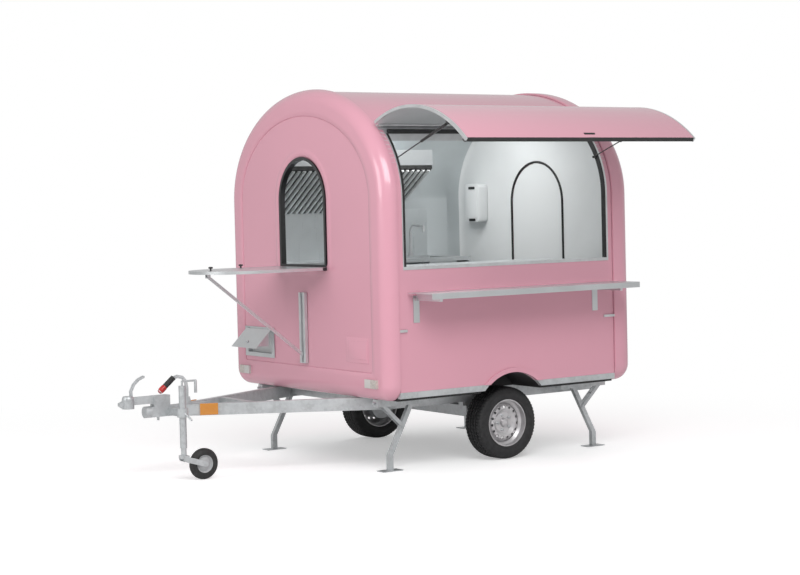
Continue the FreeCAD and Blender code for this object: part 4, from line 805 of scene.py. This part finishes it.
door_low, door_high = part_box("rear_door")
sill = rounded_block((door_low.x - 0.004, rear_y - wall, door_low.z - 0.022),
                     (door_high.x + 0.004, rear_y + 0.003, door_low.z - 0.003), 0.002, 0.06)
outward(add_piece("door_sill", *sill, aluminium, ROOT, "silver_frame"))
panel_face = mid_x + body_half - panel_step
catches = several(
    rounded_block((panel_face, side_low.y - 0.004, 0.980), (panel_face + 0.014, side_low.y + 0.064, 0.998), 0.004),
    rounded_block((panel_face, side_high.y - 0.100, 0.986), (panel_face + 0.014, side_high.y + 0.004, 1.004), 0.004))
outward(add_piece("side_catches", *catches, aluminium, ROOT, "silver_frame"))
panel_steps = [(0.542, 0.760, 0.817, 0.940, 0.0030), (0.572, 0.786, 0.800, 0.912, 0.0050)]
plates = [rounded_block((axle_x + x0, front_y + 0.0042 - proud, z0), (axle_x + x1, front_y + 0.012, z1), 0.0008, 0.06)
          for x0, z0, x1, z1, proud in panel_steps]
outward(add_piece("access_panel", *several(*plates), pink_gelcoat, ROOT, "pink_shell"))
electric_box = several(
    rounded_block((axle_x - 0.830, rear_y - wall - 0.095, 1.689), (axle_x - 0.633, rear_y - wall - 0.001, 2.005), 0.01),
    rounded_block((axle_x - 0.805, rear_y - wall - 0.100, 1.715), (axle_x - 0.662, rear_y - wall - 0.090, 1.979), 0.004))
outward(add_piece("electric_box", *electric_box, white_gelcoat, ROOT, "white_panel"))
clips = several(*[rounded_block((axle_x - 0.760, rear_y - wall - 0.106, z), (axle_x - 0.680, rear_y - wall - 0.098, z + 0.022), 0.003)
                  for z in (1.700, 1.960)])
outward(add_piece("electric_box_clips", *clips, black_plastic, ROOT, "black_paint"))
flap_low, flap_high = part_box("counter_flap")


def knob(x, y, z):
    """Mushroom knob: short stem under a rounded head, turned about a vertical line."""
    profile = np.array([(0.0002, 0.0), (0.006, 0.0), (0.006, 0.014), (0.015, 0.016), (0.017, 0.021), (0.014, 0.027),
                        (0.0002, 0.029)])
    turn = np.linspace(0, 2 * np.pi, 24, endpoint=False)
    loops = np.stack([x + profile[:, :1] * np.cos(turn), y + profile[:, :1] * np.sin(turn),
                      z + profile[:, 1:] + 0 * turn], axis=2)
    return swept(loops)


outward(add_piece("flap_knobs", *several(knob(axle_x, flap_low.y + 0.13, flap_high.z),
                                         knob(axle_x - 0.26, flap_low.y + 0.52, flap_high.z)),
                  black_plastic, "counter_flap", "black_rubber"))
end_caps = [rounded_block((x - 0.012, flap_high.y - 0.040, flap_high.z - 0.0235), (x + 0.012, flap_high.y - 0.002,
                                                                              flap_high.z + 0.0005), 0.003)
            for x in (flap_low.x + 0.0115, flap_high.x - 0.0115)]
outward(add_piece("flap_end_caps", *several(*end_caps), black_plastic, "counter_flap", "black_rubber"))
# A bead along each seam between the caps and the roof and side panels. It is coloured a darker copy of the pink, which
# is painted shade in the seam.
seam_shade_bead = finish("seam_shade_bead", (0.36, 0.15, 0.19, 1), 0.6, mottle=0.1, scale=30.0)
seam_turn = np.concatenate([[-0.95], np.linspace(0, math.pi, 120), [math.pi + 0.95]])
seam_lines = []
for seam_y in (front_high.y + 0.001, rear_low.y - 0.001):
    flat = panel_step - 0.001
    arch_x = (body_half - flat) * np.cos(np.clip(seam_turn, 0, math.pi))
    arch_z = shoulder + (body_top - shoulder - flat) * np.sin(np.clip(seam_turn, 0, math.pi))
    arch_z[[0, -1]] = side_low.z + 0.004
    seam_lines.append(tube(np.stack([mid_x + arch_x, np.full(len(arch_x), seam_y), arch_z], axis=1), 0.0022, 6))
outward(add_piece("panel_seam_shade_bead", *several(*seam_lines), seam_shade_bead, ROOT, "pink_shell"))
grip_low, grip_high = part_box("brake_lever")
grip_x = (grip_low.x + grip_high.x) / 2
grip_start, grip_end = np.array([grip_x, axle_y - 2.2300, 0.6977]), np.array([grip_x, axle_y - 2.3405, 0.6039])
grip = np.linspace(grip_start, grip_start + (grip_end - grip_start) * 0.62, 24)
grip_ribs = 0.0195 + 0.0010 * np.cos(np.linspace(0, 14 * np.pi, 24))
tip = np.linspace(grip[-1], grip_end, 7)
tip_radii = [0.0205, 0.0215, 0.0215, 0.0215, 0.0210, 0.0185, 0.0120]
outward(add_piece("brake_grip", *tube(grip, grip_ribs), black_rubber, ROOT, "black_rubber"))
outward(add_piece("brake_grip_end", *tube(tip, tip_radii), red_plastic, ROOT, "lamp_lens"))

# ---- Hood baffles --------------------------------------------------------------------------------------------
# The grease filters under the hood are rows of folded stainless channels that run down the slope.
filter_low, filter_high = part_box("hood_filters")
filter_thick = 0.025
slope_top = np.array([filter_high.x - 0.012, filter_high.z - filter_thick - 0.001 - 0.008])
slope_end = np.array([filter_low.x + 0.012, filter_low.z - 0.001 + 0.008])
down = (slope_end - slope_top) / np.linalg.norm(slope_end - slope_top)
below = np.array([-down[1], down[0]])
below = below if below[1] < 0 else -below
pitch, ridge = 0.050, 0.014
baffles = []
for y in np.arange(filter_low.y + 0.03, filter_high.y - 0.02, pitch):
    section = [(-0.013, 0.0), (-0.009, ridge), (0.009, ridge), (0.013, 0.0)]
    loops = np.array([[(end[0] + below[0] * h, y + w, end[1] + below[1] * h) for w, h in section]
                      for end in (slope_top, slope_end)])
    baffles.append(swept(loops))
bright_baffle = finish("bright_baffle", (0.74, 0.75, 0.75, 1), 0.32, metallic=0.35, mottle=0.08, scale=8.0)
outward(add_piece("hood_baffles", *several(*baffles), bright_baffle, ROOT, "stainless"))
hood_low, hood_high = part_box("exhaust_hood")
duct = rounded_block((mid_x - 0.72, hood_low.y + 0.30, hood_high.z - 0.001),
                     (hood_high.x - 0.02, hood_low.y + 0.70, hood_high.z + 0.12), 0.004, 0.06)
outward(add_piece("hood_duct", *duct, stainless_z, ROOT, "stainless"))

# ---- View transform --------------------------------------------------------------------------------------------
bpy.context.scene.view_settings.view_transform = "Standard"
